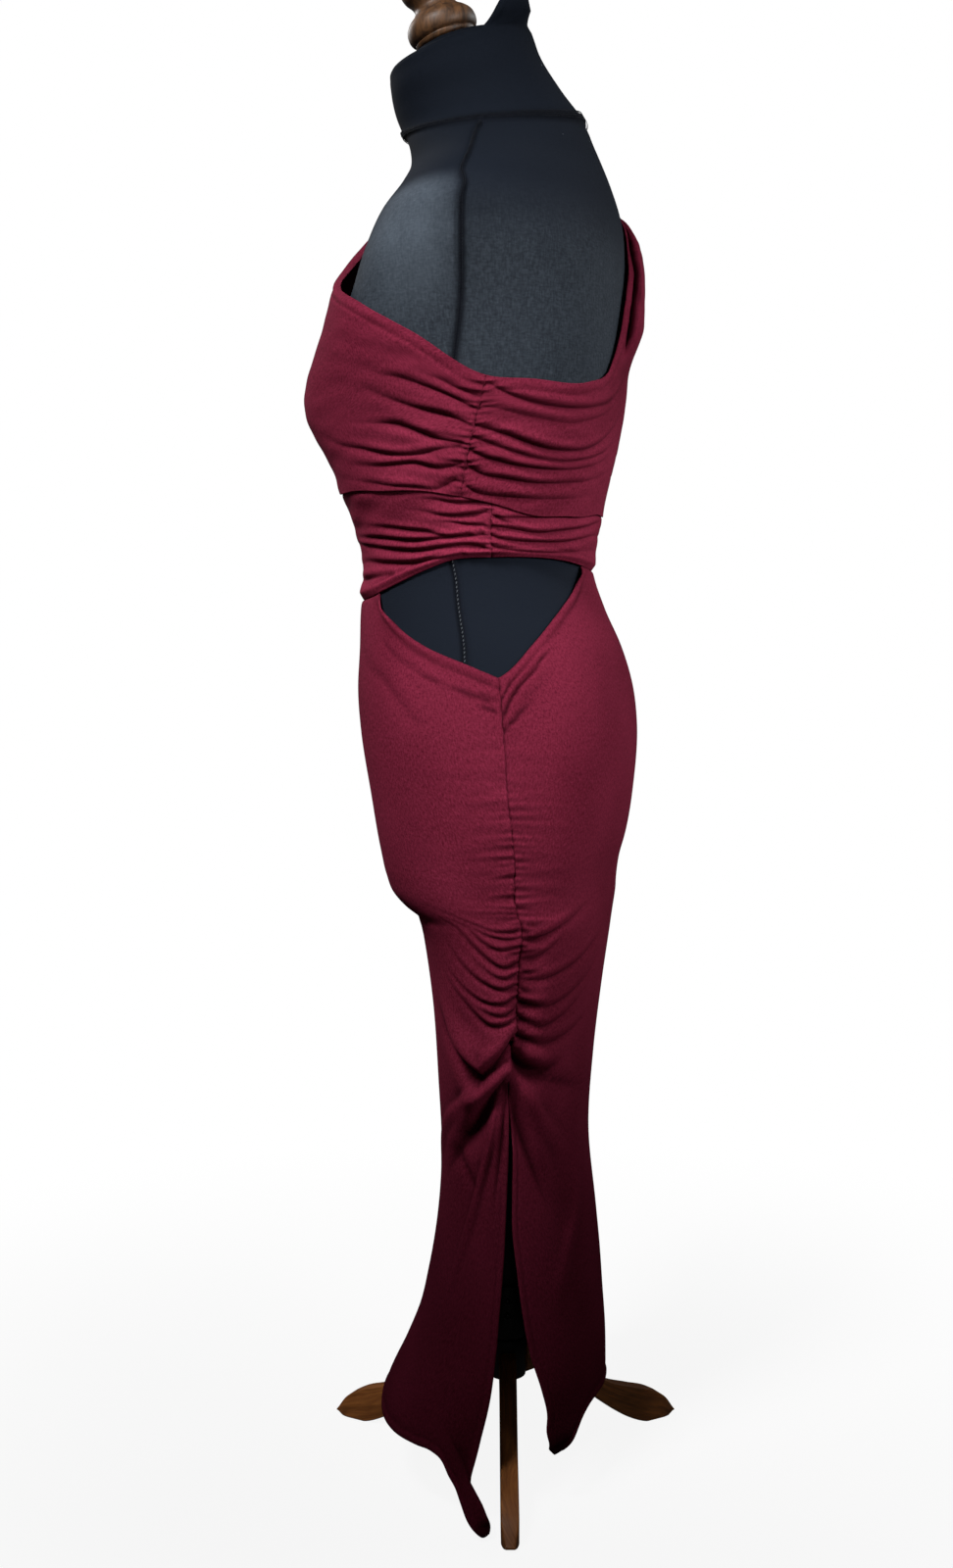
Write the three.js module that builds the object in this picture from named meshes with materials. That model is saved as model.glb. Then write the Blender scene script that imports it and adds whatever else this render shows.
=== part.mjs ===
// A one-shoulder maxi dress with a cut-out waist and a side slit, worn by a limbless dress form on a
// wooden tripod. Millimetres, +Z up, +X the wearer's left, -Y the front. Everything is laid out
// round the stand's pole, and the whole is then moved so that the origin is at the middle of its base.
import * as THREE from "three";

// ---- driving dimensions ----
const cloth = 1.6; // thickness of the doubled jersey
const hug = 2.0; // from the form's surface to the middle of cloth that lies on it
const seamGap = 0.4; // between two panels along a seam
const fit = 0.3; // clearance between hard pieces that touch
const grids = {
  bodice: { columns: 22, rows: 17 },
  band: { columns: 20, rows: 5 },
  skirt: { columns: 18, slit: 10, swags: 9, hips: 7 }, // skirt rows up the slit, the swags, the hips
  form: { around: 40, rowHeight: 28 },
};

const pole = { radius: 12.5, foot: 86, head: 529 - fit };
const hub = { radius: 17.5, low: 80, high: 118 };
const collar = { radius: 16.5, high: 170 };
const collarScrew = { radius: 3.2, proud: 2.2, heights: [142, 156] };
const leg = { count: 3, thick: 16, bevel: 2, firstTurn: 12 };

// Side seams, as turns in degrees. leftRake is how far the bodice's left seam leans back at its top.
const sideSeam = { right: -90, left: 97, leftRake: 7, band: 109, skirt: 106, swags: 112 };
const slitTop = 414; // height where the left side seam ends and the slit begins
const bust = { apart: 146, height: 982, proud: 27, wide: 48, above: 62, below: 46 };

// The form, section by section. z is a section's height, wide its half-width, front and back its
// reach from the pole, lean how far its plane tips forward in degrees, and square how full its
// corners are.
const figure = [
  { z: 529, wide: 146, front: 60, back: 62, lean: 0, square: 0.04 },
  { z: 531, wide: 154, front: 72, back: 72, lean: 0, square: 0.04 },
  { z: 538, wide: 161, front: 85, back: 82, lean: 0, square: 0.04 },
  { z: 550, wide: 167, front: 92, back: 89, lean: 0, square: 0.04 },
  { z: 568, wide: 170, front: 98, back: 94, lean: 0, square: 0.04 },
  { z: 592, wide: 172, front: 103, back: 101, lean: 0, square: 0.04 },
  { z: 642, wide: 173, front: 112, back: 109, lean: 0, square: 0.04 },
  { z: 696, wide: 168, front: 122, back: 112, lean: 0, square: 0.04 },
  { z: 732, wide: 158, front: 126, back: 108, lean: 0, square: 0.04 },
  { z: 768, wide: 145, front: 127, back: 98, lean: 0, square: 0.03 },
  { z: 803, wide: 132, front: 128, back: 83, lean: 0, square: 0.02 },
  { z: 839, wide: 124, front: 123, back: 72, lean: 0, square: 0.02 },
  { z: 874, wide: 130, front: 130, back: 75, lean: 0, square: 0.02 },
  { z: 909, wide: 141, front: 140, back: 84, lean: 0, square: 0.03 },
  { z: 985, wide: 160, front: 145, back: 99, lean: 0, square: 0.04 },
  { z: 1065, wide: 170, front: 130, back: 101, lean: 0, square: 0.04 },
  { z: 1115, wide: 179, front: 115, back: 101, lean: 0, square: 0.02 },
  { z: 1145, wide: 178, front: 102, back: 99, lean: 0, square: -0.01 },
  { z: 1172, wide: 156, front: 89, back: 91, lean: 0, square: -0.03 },
  { z: 1192, wide: 124, front: 81, back: 83, lean: 0, square: -0.03 },
  { z: 1210, wide: 94, front: 83, back: 75, lean: 0, square: 0 },
  { z: 1227, wide: 72, front: 95, back: 66, lean: 3, square: 0 },
  { z: 1247, wide: 62, front: 102, back: 48, lean: 7, square: 0 },
  { z: 1275, wide: 57, front: 107, back: 28, lean: 13, square: 0 },
  { z: 1290, wide: 54, front: 107, back: 20, lean: 17, square: 0 },
  { z: 1300, wide: 52, front: 104, back: 13, lean: 19, square: 0 },
  { z: 1305, wide: 48, front: 98, back: 7, lean: 19.5, square: 0 },
  { z: 1307, wide: 38, front: 86, back: -4, lean: 19.5, square: 0 },
];

// The skirt below the form, to the middle of the cloth. It narrows to the knee and flares to the hem.
const drape = [
  { z: -20, wide: 160, front: 128, back: 92, lean: 0, square: 0 },
  { z: 43, wide: 158, front: 120, back: 92, lean: 0, square: 0 },
  { z: 81, wide: 157, front: 110, back: 91, lean: 0, square: 0 },
  { z: 120, wide: 155, front: 92, back: 90, lean: 0, square: 0 },
  { z: 158, wide: 152, front: 77, back: 87, lean: 0, square: 0 },
  { z: 196, wide: 150, front: 68, back: 84, lean: 0, square: 0 },
  { z: 234, wide: 148, front: 61, back: 80, lean: 0, square: 0 },
  { z: 310, wide: 147, front: 54, back: 72, lean: 0, square: 0 },
  { z: 385, wide: 151, front: 57, back: 76, lean: 0, square: 0 },
  { z: 459, wide: 158, front: 61, back: 84, lean: 0, square: 0.01 },
  { z: 505, wide: 163, front: 66, back: 90, lean: 0, square: 0.02 },
  { z: 524, wide: 166, front: 71, back: 92, lean: 0, square: 0.03 },
  { z: 533, wide: 168, front: 84, back: 94, lean: 0, square: 0.04 },
  { z: 540, wide: 168.5, front: 89, back: 94, lean: 0, square: 0.04 },
];

// ---- smooth curves through short tables ----
// Reads column `name` of a table sorted by `key`, as a smooth curve that passes through its rows.
function read(table, key, at, name) {
  const last = table.length - 1;
  const x = THREE.MathUtils.clamp(at, table[0][key], table[last][key]);
  let i = 0;
  while (i < last - 1 && x > table[i + 1][key]) i += 1;
  const slope = (k) => {
    const rise = (a, b) => (table[b][name] - table[a][name]) / (table[b][key] - table[a][key]);
    if (k === 0) return rise(0, 1);
    if (k === last) return rise(last - 1, last);
    const before = table[k][key] - table[k - 1][key];
    const after = table[k + 1][key] - table[k][key];
    return (rise(k - 1, k) * after + rise(k, k + 1) * before) / (before + after);
  };
  const step = table[i + 1][key] - table[i][key];
  const t = (x - table[i][key]) / step;
  const [t2, t3] = [t * t, t * t * t];
  return (
    (2 * t3 - 3 * t2 + 1) * table[i][name] +
    (t3 - 2 * t2 + t) * step * slope(i) +
    (3 * t2 - 2 * t3) * table[i + 1][name] +
    (t3 - t2) * step * slope(i + 1)
  );
}

const bell = (x, width) => Math.exp(-((x / width) ** 2));
const ease = (t) => THREE.MathUtils.smoothstep(t, 0, 1);
const radians = THREE.MathUtils.degToRad;
const facetSteps = [
  [1, 0],
  [0, 1],
  [-1, 0],
  [0, -1],
  [1, 1],
  [-1, -1],
  [1, -1],
  [-1, 1],
];

// A point of a section. Turn 0 is the middle of the front, 90 the wearer's left, 180 the back.
function sectionPoint(table, turn, z) {
  const column = (name) => read(table, "z", z, name);
  const [wide, front, back, square] = ["wide", "front", "back", "square"].map(column);
  const [angle, lean] = [radians(turn), radians(column("lean"))];
  const full = 1 - square;
  const across = (wide * (Math.sin(angle) + square * Math.sin(3 * angle))) / full;
  const deep = (((front + back) / 2) * (Math.cos(angle) - square * Math.cos(3 * angle))) / full;
  const middle = (back - front) / 2;
  return new THREE.Vector3(across, middle - deep * Math.cos(lean), z - deep * Math.sin(lean));
}

// The form's surface: its sections, with the bust standing out of the ribcage.
function formPoint(turn, z) {
  const point = sectionPoint(figure, turn, z);
  const upright = z - bust.height;
  const side = bell(Math.abs(point.x) - bust.apart / 2, bust.wide);
  const level = bell(upright, upright > 0 ? bust.above : bust.below);
  const facing = THREE.MathUtils.clamp(1.6 * Math.cos(radians(turn)), 0, 1);
  point.y -= bust.proud * side * level * facing;
  return point;
}

// The surface that the skirt follows: the form's hips, then the drape below them.
const hips = figure.filter((row) => row.z >= 550 && row.z <= 909);
const grown = hips.map((row) => ({
  ...row,
  wide: row.wide + hug,
  front: row.front + hug,
  back: row.back + hug,
}));
const skirtTable = [...drape, ...grown];
const skirtPoint = (turn, z) => sectionPoint(skirtTable, turn, z);

function outward(surface, turn, z) {
  const [dTurn, dZ] = [0.05, 0.5];
  const across = surface(turn + dTurn, z).sub(surface(turn - dTurn, z));
  const up = surface(turn, z + dZ).sub(surface(turn, z - dZ));
  return across.cross(up).normalize();
}

// ---- outlines, as heights round the body ----
const neckline = [
  { turn: -90, z: 1204 },
  { turn: -70, z: 1201 },
  { turn: -50, z: 1193 },
  { turn: -30, z: 1177 },
  { turn: -15, z: 1157 },
  { turn: -3, z: 1136 },
  { turn: 5, z: 1119 },
  { turn: 17, z: 1095 },
  { turn: 30, z: 1077 },
  { turn: 54, z: 1057 },
  { turn: 78, z: 1031 },
  { turn: 103, z: 996 },
  { turn: 120, z: 993 },
  { turn: 147, z: 994 },
  { turn: 162, z: 1008 },
  { turn: 172, z: 1040 },
  { turn: 183, z: 1082 },
  { turn: 197, z: 1130 },
  { turn: 220, z: 1168 },
  { turn: 245, z: 1189 },
  { turn: 270, z: 1204 },
];
const underBust = [
  { turn: -90, z: 900 },
  { turn: 0, z: 908 },
  { turn: 60, z: 908 },
  { turn: 97, z: 903 },
  { turn: 115, z: 892 },
  { turn: 180, z: 889 },
  { turn: 225, z: 893 },
  { turn: 270, z: 900 },
];
const bandFoot = [
  { turn: -90, z: 834 },
  { turn: -45, z: 818 },
  { turn: 0, z: 811 },
  { turn: 50, z: 817 },
  { turn: 65, z: 827 },
  { turn: 78, z: 837 },
  { turn: 92, z: 846 },
  { turn: 109, z: 848 },
  { turn: 140, z: 847 },
  { turn: 167, z: 841 },
  { turn: 180, z: 838 },
  { turn: 225, z: 836 },
  { turn: 270, z: 834 },
];
// How far the cut-out's lower edge drops under the band, deepest at the side seam.
const cutOut = [
  { turn: 50, drop: 0 },
  { turn: 56, drop: 18 },
  { turn: 64, drop: 39 },
  { turn: 76, drop: 65 },
  { turn: 92, drop: 91 },
  { turn: 106, drop: 105 },
  { turn: 119, drop: 78 },
  { turn: 130, drop: 60 },
  { turn: 141, drop: 43 },
  { turn: 154, drop: 24 },
  { turn: 167, drop: 0 },
];
const hem = [
  { turn: -90, front: 14, back: 14 },
  { turn: -80, front: 11, back: 11 },
  { turn: -66, front: 21, back: 21 },
  { turn: -48, front: 42, back: 42 },
  { turn: -30, front: 58, back: 58 },
  { turn: 0, front: 70, back: 70 },
  { turn: 14, front: 71, back: 71 },
  { turn: 28, front: 67, back: 67 },
  { turn: 47, front: 66, back: 66 },
  { turn: 68, front: 64, back: 64 },
  { turn: 78, front: 59, back: 59 },
  { turn: 84, front: 52, back: 52 },
  { turn: 90, front: 38, back: 52 },
  { turn: 96, front: 20, back: 52 },
  { turn: 103, front: 9, back: 52 },
  { turn: 140, front: 9, back: 52 },
  { turn: 146, front: 9, back: 57 },
  { turn: 151, front: 9, back: 67 },
  { turn: 156, front: 9, back: 77 },
  { turn: 164, front: 80, back: 80 },
  { turn: 182, front: 77, back: 77 },
  { turn: 210, front: 66, back: 66 },
  { turn: 232, front: 52, back: 52 },
  { turn: 254, front: 30, back: 30 },
  { turn: 270, front: 14, back: 14 },
];

const heightOf = (table, turn, name = "z") => read(table, "turn", turn, name);
const bandTop = (turn) => heightOf(underBust, turn) - seamGap;
const skirtTop = (turn) => {
  const inCut = turn > cutOut[0].turn && turn < cutOut[cutOut.length - 1].turn;
  return heightOf(bandFoot, turn) - seamGap - (inCut ? heightOf(cutOut, turn, "drop") : 0);
};

// ---- relief: how far the cloth stands off the surface that it follows ----
// Folds of the gathered bodice and band. They fan out from the left side seam; level is where a fold
// leaves the seam, from the panel's lower edge (0) to its upper one (1).
const bodiceFolds = [
  { level: 0.05, width: 0.07, front: 3.0, back: 2.6 },
  { level: 0.3, width: 0.08, front: 2.2, back: 3.4 },
  { level: 0.52, width: 0.08, front: 2.6, back: 3.0 },
  { level: 0.76, width: 0.09, front: 1.8, back: 3.6 },
];
const bandFolds = [
  { level: 0.1, width: 0.16, front: 3.4, back: 2.4 },
  { level: 0.55, width: 0.17, front: 2.6, back: 3.2 },
];
// Swags under the form: height at the seam, rise and reach (degrees) away from it, width and depth.
const swags = [
  { seam: 506, rise: 26, reach: 52, width: 9, depth: 3 },
  { seam: 482, rise: 40, reach: 60, width: 10, depth: 5 },
  { seam: 455, rise: 60, reach: 66, width: 12, depth: 7 },
  { seam: 424, rise: 84, reach: 72, width: 15, depth: 10 },
];
const seamPull = { depth: 9, width: 9, height: 432, above: 70, below: 50 };
// The front corner of the slit kicks outwards.
const cornerFlick = { turn: 103, wide: 14, high: 90, out: 22 };
// Folds that hang from the slit's top and the right seam down to the hem.
const tensionFolds = [
  { top: 378, foot: 150, from: 101, to: 62, width: 9, depth: 6 },
  { top: 372, foot: 130, from: 122, to: 150, width: 9, depth: 5 },
  { top: 360, foot: 60, from: -84, to: -48, width: 10, depth: 6 },
  { top: 360, foot: 60, from: 264, to: 228, width: 10, depth: 6 },
];

const foldRelief = (folds, side, level) =>
  folds.reduce((sum, fold) => sum + fold[side] * bell(level - fold.level, fold.width), 0);

// Where the bodice bridges instead of following the form: between the breasts, at the gaping
// neckline of the front, and in the two hanging folds of the back strap.
function frontBridge(turn, z) {
  const point = formPoint(turn, z);
  const cleavage = 13 * bell(point.x, 34) * bell(z - 972, 52);
  const belowEdge = heightOf(neckline, turn) - z;
  const gape = 18 * bell(turn, 50) * bell(belowEdge, 56);
  return cleavage + gape;
}

function backBridge(turn, z) {
  const high = ease((z - 985) / 60) * ease((1178 - z) / 50);
  const inner = 5 * bell(turn - 184, 8);
  const outer = 15 * bell(turn - 204, 11);
  return high * (inner + outer);
}

function skirtRelief(turn, z) {
  let relief = 0;
  for (const seam of [sideSeam.swags, sideSeam.right, sideSeam.right + 360]) {
    const away = Math.abs(turn - seam);
    for (const swag of swags) {
      const part = away / swag.reach;
      const centre = swag.seam + swag.rise * part ** 1.6;
      relief += swag.depth * bell(z - centre, swag.width) * ease(1.15 - part);
    }
    const upright = z - seamPull.height;
    const near = bell(away, seamPull.width);
    relief -= seamPull.depth * near * bell(upright, upright > 0 ? seamPull.above : seamPull.below);
  }
  const kick = bell(turn - cornerFlick.turn, cornerFlick.wide) * ease(1 - z / cornerFlick.high);
  relief += cornerFlick.out * kick;
  for (const fold of tensionFolds) {
    const part = (fold.top - z) / (fold.top - fold.foot);
    const centre = THREE.MathUtils.lerp(fold.from, fold.to, part ** 1.3 || 0);
    const fade = ease(part * 5) * ease((1.25 - part) * 2);
    relief += fold.depth * bell(turn - centre, fold.width) * fade;
  }
  return relief;
}

// ---- a panel: a wall of cloth on a grid of points ----
// Flat facets cut across a rounded body. This is how far the body stands out of the chords from one
// grid point to its neighbours, and the cloth is moved out by it there.
function bulge(surface, place, columns, rows, i, j) {
  const at = (column, row) => {
    const { turn, z } = place(column / columns, row / rows);
    return { turn, z, point: surface(turn, z) };
  };
  const here = at(i, j);
  let most = 0;
  for (const [di, dj] of facetSteps) {
    const inside = i + di >= 0 && i + di <= columns && j + dj >= 0 && j + dj <= rows;
    if (!inside) continue;
    const half = at(i + di / 2, j + dj / 2);
    const chord = here.point.clone().add(at(i + di, j + dj).point).divideScalar(2);
    const rise = half.point.clone().sub(chord);
    most = Math.max(most, rise.dot(outward(surface, half.turn, half.z)));
  }
  return most;
}

// place(u, v) gives the turn and height at u across the panel and v up it, and lift their distance
// from the surface. The wall is closed all round by its rim.
function panel({ columns, rows, place, surface, lift }) {
  const [outer, inner] = [[], []];
  for (let j = 0; j <= rows; j += 1) {
    for (let i = 0; i <= columns; i += 1) {
      const { turn, z } = place(i / columns, j / rows);
      const [point, normal] = [surface(turn, z), outward(surface, turn, z)];
      const spare = bulge(surface, place, columns, rows, i, j);
      const middle = lift(turn, z, i / columns, j / rows) + spare;
      outer.push(point.clone().addScaledVector(normal, middle + cloth / 2));
      inner.push(point.clone().addScaledVector(normal, middle - cloth / 2));
    }
  }
  const across = columns + 1;
  const count = outer.length;
  const faces = [];
  const quad = (a, b, c, d) => faces.push(a, b, c, a, c, d);
  for (let j = 0; j < rows; j += 1) {
    for (let i = 0; i < columns; i += 1) {
      const at = j * across + i;
      quad(at, at + 1, at + across + 1, at + across);
      quad(count + at, count + at + across, count + at + across + 1, count + at + 1);
    }
  }
  const rim = [];
  for (let i = 0; i < columns; i += 1) rim.push(i);
  for (let j = 0; j < rows; j += 1) rim.push(j * across + columns);
  for (let i = columns; i > 0; i -= 1) rim.push(rows * across + i);
  for (let j = rows; j > 0; j -= 1) rim.push(j * across);
  rim.forEach((at, k) => {
    const next = rim[(k + 1) % rim.length];
    quad(at, count + at, count + next, next);
  });
  const geometry = new THREE.BufferGeometry().setFromPoints([...outer, ...inner]);
  geometry.setIndex(faces);
  return geometry;
}

// ---- bodice ----
const armhole = { low: 1012, high: 1164, front: 27, back: 30 };

// How far the armhole's edge lies from the right side line, in degrees, at a height.
function armholeDepth(z, side) {
  const middle = (armhole.low + armhole.high) / 2;
  const part = Math.abs(z - middle) / ((armhole.high - armhole.low) / 2);
  return part < 1 ? armhole[side] * (1 - part ** 2.4) ** 0.7 : 0;
}

// Half the seam gap as a turn, at a radius of about 150 mm.
const halfGap = THREE.MathUtils.radToDeg(seamGap / 2 / 150);

function bodicePlace(side) {
  const front = side === "front";
  const sideLine = front ? -90 : 270;
  const direction = front ? 1 : -1;
  const [low, high] = [heightOf(underBust, -90), heightOf(neckline, -90)];
  return (u, v) => {
    const away = armholeDepth(THREE.MathUtils.lerp(low, high, v), side) + halfGap;
    const armSide = sideLine + direction * away;
    const seamSide = sideSeam.left + sideSeam.leftRake * v - direction * halfGap;
    const part = front ? u : 1 - u;
    const turn = THREE.MathUtils.lerp(armSide, seamSide, part);
    const z = THREE.MathUtils.lerp(heightOf(underBust, turn), heightOf(neckline, turn), v);
    return { turn, z };
  };
}

// Gathers are deepest at the left side seam and fade out across the panel.
const gatherFade = (turn, seam, span) => ease(1.1 - Math.abs(turn - seam) / span);

function bodice(side) {
  const bridge = side === "front" ? frontBridge : backBridge;
  const span = side === "front" ? 120 : 110;
  return panel({
    ...grids.bodice,
    place: bodicePlace(side),
    surface: formPoint,
    lift: (turn, z, u, v) => {
      const edge = ease(v * 8) * ease((1 - v) * 8);
      const folds = foldRelief(bodiceFolds, side, v) * gatherFade(turn, sideSeam.left, span);
      return hug + folds * edge + bridge(turn, z);
    },
  });
}

// ---- midriff band ----
function band(side) {
  const front = side === "front";
  const ends = front
    ? [sideSeam.right + halfGap, sideSeam.band - halfGap]
    : [sideSeam.band + halfGap, sideSeam.right + 360 - halfGap];
  return panel({
    ...grids.band,
    place: (u, v) => {
      const turn = THREE.MathUtils.lerp(...ends, u);
      return { turn, z: THREE.MathUtils.lerp(heightOf(bandFoot, turn), bandTop(turn), v) };
    },
    surface: formPoint,
    lift: (turn, z, u, v) => hug + foldRelief(bandFolds, side, v) * Math.sin(Math.PI * v) ** 0.5,
  });
}

// ---- skirt ----
// The seam line above the slit, and the two edges of the slit below it.
const seamLine = [
  { z: -20, front: 103, back: 143 },
  { z: 30, front: 101, back: 141 },
  { z: 58, front: 99, back: 139 },
  { z: 93, front: 100, back: 133 },
  { z: 119, front: 100, back: 128 },
  { z: 157, front: 100, back: 120 },
  { z: 194, front: 100.5, back: 115 },
  { z: 230, front: 102, back: 111.8 },
  { z: 265, front: 104, back: 109.6 },
  { z: 300, front: 106.2, back: 110.4 },
  { z: 335, front: 107.2, back: 110.6 },
  { z: 369, front: 107.2, back: 109.6 },
  { z: 395, front: 106.8, back: 108.2 },
  { z: slitTop, front: 107.4, back: 107.4 },
  { z: 427, front: 109.2, back: 109.2 },
  { z: 440, front: 111.2, back: 111.2 },
  { z: 457, front: 112.3, back: 112.3 },
  { z: 475, front: 112, back: 112 },
  { z: 501, front: 111.2, back: 111.2 },
  { z: 536, front: 111, back: 111 },
  { z: 578, front: 109.2, back: 109.2 },
  { z: 612, front: 107.2, back: 107.2 },
  { z: 645, front: 106, back: 106 },
  { z: 692, front: 106, back: 106 },
  { z: 745, front: 106, back: 106 },
];
const swagTop = 0.32; // where the swags' close rows end, as a share of the way up from the slit
const skirtRowCount = grids.skirt.slit + grids.skirt.swags + grids.skirt.hips;

// A row's height as two shares: of the way from the hem to the slit's top, and from there to the top.
function skirtShares(row) {
  const { slit, swags: close, hips: open } = grids.skirt;
  const above = row - slit;
  if (above <= 0) return { below: row / slit, above: 0 };
  const inSwags = above < close;
  if (inSwags) return { below: 1, above: (swagTop * above) / close };
  return { below: 1, above: THREE.MathUtils.lerp(swagTop, 1, (above - close) / open) };
}

function skirtPlace(side) {
  const front = side === "front";
  const right = front ? sideSeam.right + halfGap : sideSeam.right + 360 - halfGap;
  return (u, v) => {
    const share = skirtShares(v * skirtRowCount);
    const height = (turn) => {
      const foot = THREE.MathUtils.lerp(heightOf(hem, turn, side), slitTop, share.below);
      return foot + (skirtTop(turn) - slitTop) * share.above;
    };
    let edge = sideSeam.skirt;
    for (let pass = 0; pass < 6; pass += 1) edge = read(seamLine, "z", height(edge), side);
    edge += front ? -halfGap : halfGap;
    const turn = front ? THREE.MathUtils.lerp(right, edge, u) : THREE.MathUtils.lerp(edge, right, u);
    return { turn, z: height(turn) };
  };
}

const skirt = (side) =>
  panel({
    columns: grids.skirt.columns,
    rows: skirtRowCount,
    place: skirtPlace(side),
    surface: skirtPoint,
    lift: (turn, z) => skirtRelief(turn, z),
  });

// ---- dress form and stand ----
const formHeights = figure.flatMap((row, i) => {
  const next = figure[i + 1];
  const steps = next ? Math.max(1, Math.round((next.z - row.z) / grids.form.rowHeight)) : 1;
  return Array.from({ length: steps }, (_, k) => row.z + ((next?.z ?? row.z) - row.z) * (k / steps));
});

// The form is a stack of rings, closed flat at the neck and under the hips.
function torso() {
  const { around } = grids.form;
  const points = formHeights.flatMap((z) =>
    Array.from({ length: around }, (_, i) => formPoint((360 * i) / around, z)),
  );
  const top = formHeights.length - 1;
  const faces = [];
  for (let j = 0; j < top; j += 1) {
    for (let i = 0; i < around; i += 1) {
      const [a, b] = [j * around + i, j * around + ((i + 1) % around)];
      faces.push(a, b, b + around, a, b + around, a + around);
    }
  }
  const centre = (ring) => {
    const middle = new THREE.Vector3();
    for (let i = 0; i < around; i += 1) middle.addScaledVector(points[ring * around + i], 1 / around);
    return points.push(middle) - 1;
  };
  const [foot, head] = [centre(0), centre(top)];
  for (let i = 0; i < around; i += 1) {
    const next = (i + 1) % around;
    faces.push(foot, next, i, head, top * around + i, top * around + next);
  }
  const geometry = new THREE.BufferGeometry().setFromPoints(points);
  geometry.setIndex(faces);
  return geometry;
}

// A turned piece: its profile as [radius, height] pairs, stood along +Z.
function turned(profile, around = 24) {
  const points = profile.map(([radius, height]) => new THREE.Vector2(radius, height));
  return new THREE.LatheGeometry(points, around).rotateX(Math.PI / 2);
}

function ring(inner, outer, low, high) {
  const chamfer = 1.5; // small chamfer on the outer edges
  return turned([
    [inner, low],
    [outer - chamfer, low],
    [outer, low + chamfer],
    [outer, high - chamfer],
    [outer - chamfer, high],
    [inner, high],
    [inner, low],
  ]);
}

// A tripod leg, cut from board: it arches out from the hub and ends in a pointed toe, with a flat
// sole. Both lines run outwards; the bevel grows the outline, so it is drawn that much smaller.
const legTop = [
  { out: 18, z: 107 },
  { out: 34, z: 106 },
  { out: 60, z: 93 },
  { out: 86, z: 70 },
  { out: 112, z: 51 },
  { out: 140, z: 40 },
  { out: 164, z: 31 },
  { out: 180, z: 20 },
  { out: 192, z: 5 },
];
const legFoot = [
  { out: 18, z: 82 },
  { out: 40, z: 81 },
  { out: 62, z: 71 },
  { out: 82, z: 53 },
  { out: 101, z: 34 },
  { out: 119, z: 20 },
  { out: 138, z: 8 },
  { out: 158, z: 0 },
];
const soleEnd = 184;

function legBoard() {
  const edge = leg.bevel;
  const shape = new THREE.Shape();
  const line = (row, drop) => new THREE.Vector2(row.out, row.z + drop);
  shape.moveTo(legFoot[0].out + edge, legFoot[0].z + edge);
  shape.splineThru(legFoot.slice(1).map((row) => line(row, edge)));
  shape.lineTo(soleEnd, edge);
  const down = legTop.map((row) => line(row, -edge)).reverse();
  shape.lineTo(down[0].x - edge, down[0].y + edge);
  shape.splineThru(down.slice(1, -1));
  shape.lineTo(legTop[0].out + edge, legTop[0].z - edge);
  shape.closePath();
  const board = new THREE.ExtrudeGeometry(shape, {
    depth: leg.thick - 2 * leg.bevel,
    bevelEnabled: true,
    bevelThickness: leg.bevel,
    bevelSize: leg.bevel,
    bevelSegments: 1,
    curveSegments: 2,
  });
  board.translate(0, 0, leg.bevel - leg.thick / 2);
  return board.rotateX(Math.PI / 2);
}

// The turned knob on the neck: a ring foot, a waist and a ball.
const knob = turned([
  [0, 0],
  [25, 0],
  [27.5, 2],
  [30.5, 6],
  [31, 11],
  [28.5, 17],
  [22.5, 22],
  [18.5, 27],
  [18, 31],
  [20, 36],
  [24, 43],
  [26, 51],
  [25, 59],
  [20, 67],
  [12, 72],
  [0, 74],
]);

const screwHead = turned(
  [
    [0, -1],
    [collarScrew.radius, -1],
    [collarScrew.radius, 1],
    [collarScrew.radius * 0.6, collarScrew.proud],
    [0, collarScrew.proud],
  ],
  16,
);

// ---- the object ----
const finish = {
  jersey: new THREE.MeshStandardMaterial({ color: 0x5e1830, roughness: 0.82, metalness: 0 }),
  cover: new THREE.MeshStandardMaterial({ color: 0x20242c, roughness: 0.92, metalness: 0 }),
  wood: new THREE.MeshStandardMaterial({ color: 0x8a5c38, roughness: 0.45, metalness: 0 }),
  steel: new THREE.MeshStandardMaterial({ color: 0x17181a, roughness: 0.5, metalness: 0.3 }),
};

const dress = new THREE.Group();

function add(name, geometry, material, parent = dress) {
  const mesh = new THREE.Mesh(geometry, material);
  mesh.name = name;
  parent.add(mesh);
  return mesh;
}

for (const side of ["front", "back"]) {
  add(`bodice_${side}`, bodice(side), finish.jersey);
  add(`band_${side}`, band(side), finish.jersey);
  add(`skirt_${side}`, skirt(side), finish.jersey);
}

add("form_torso", torso(), finish.cover);
const neck = figure[figure.length - 1];
const knobForward = 12; // the knob sits a little in front of the middle of the neck
const neckLean = radians(neck.lean);
const neckCap = add("neck_knob", knob, finish.wood);
neckCap.rotation.x = neckLean;
neckCap.position.set(
  0,
  (neck.back - neck.front) / 2 - knobForward * Math.cos(neckLean) - fit * Math.sin(neckLean),
  neck.z - knobForward * Math.sin(neckLean) + fit * Math.cos(neckLean),
);

const poleEnds = [
  [0, pole.foot],
  [pole.radius, pole.foot],
  [pole.radius, pole.head],
  [0, pole.head],
];
add("pole", turned(poleEnds, 24), finish.steel);
add("hub", ring(pole.radius + fit, hub.radius, hub.low, hub.high), finish.steel);
add("collar", ring(pole.radius + fit, collar.radius, hub.high + fit, collar.high), finish.steel);

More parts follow.
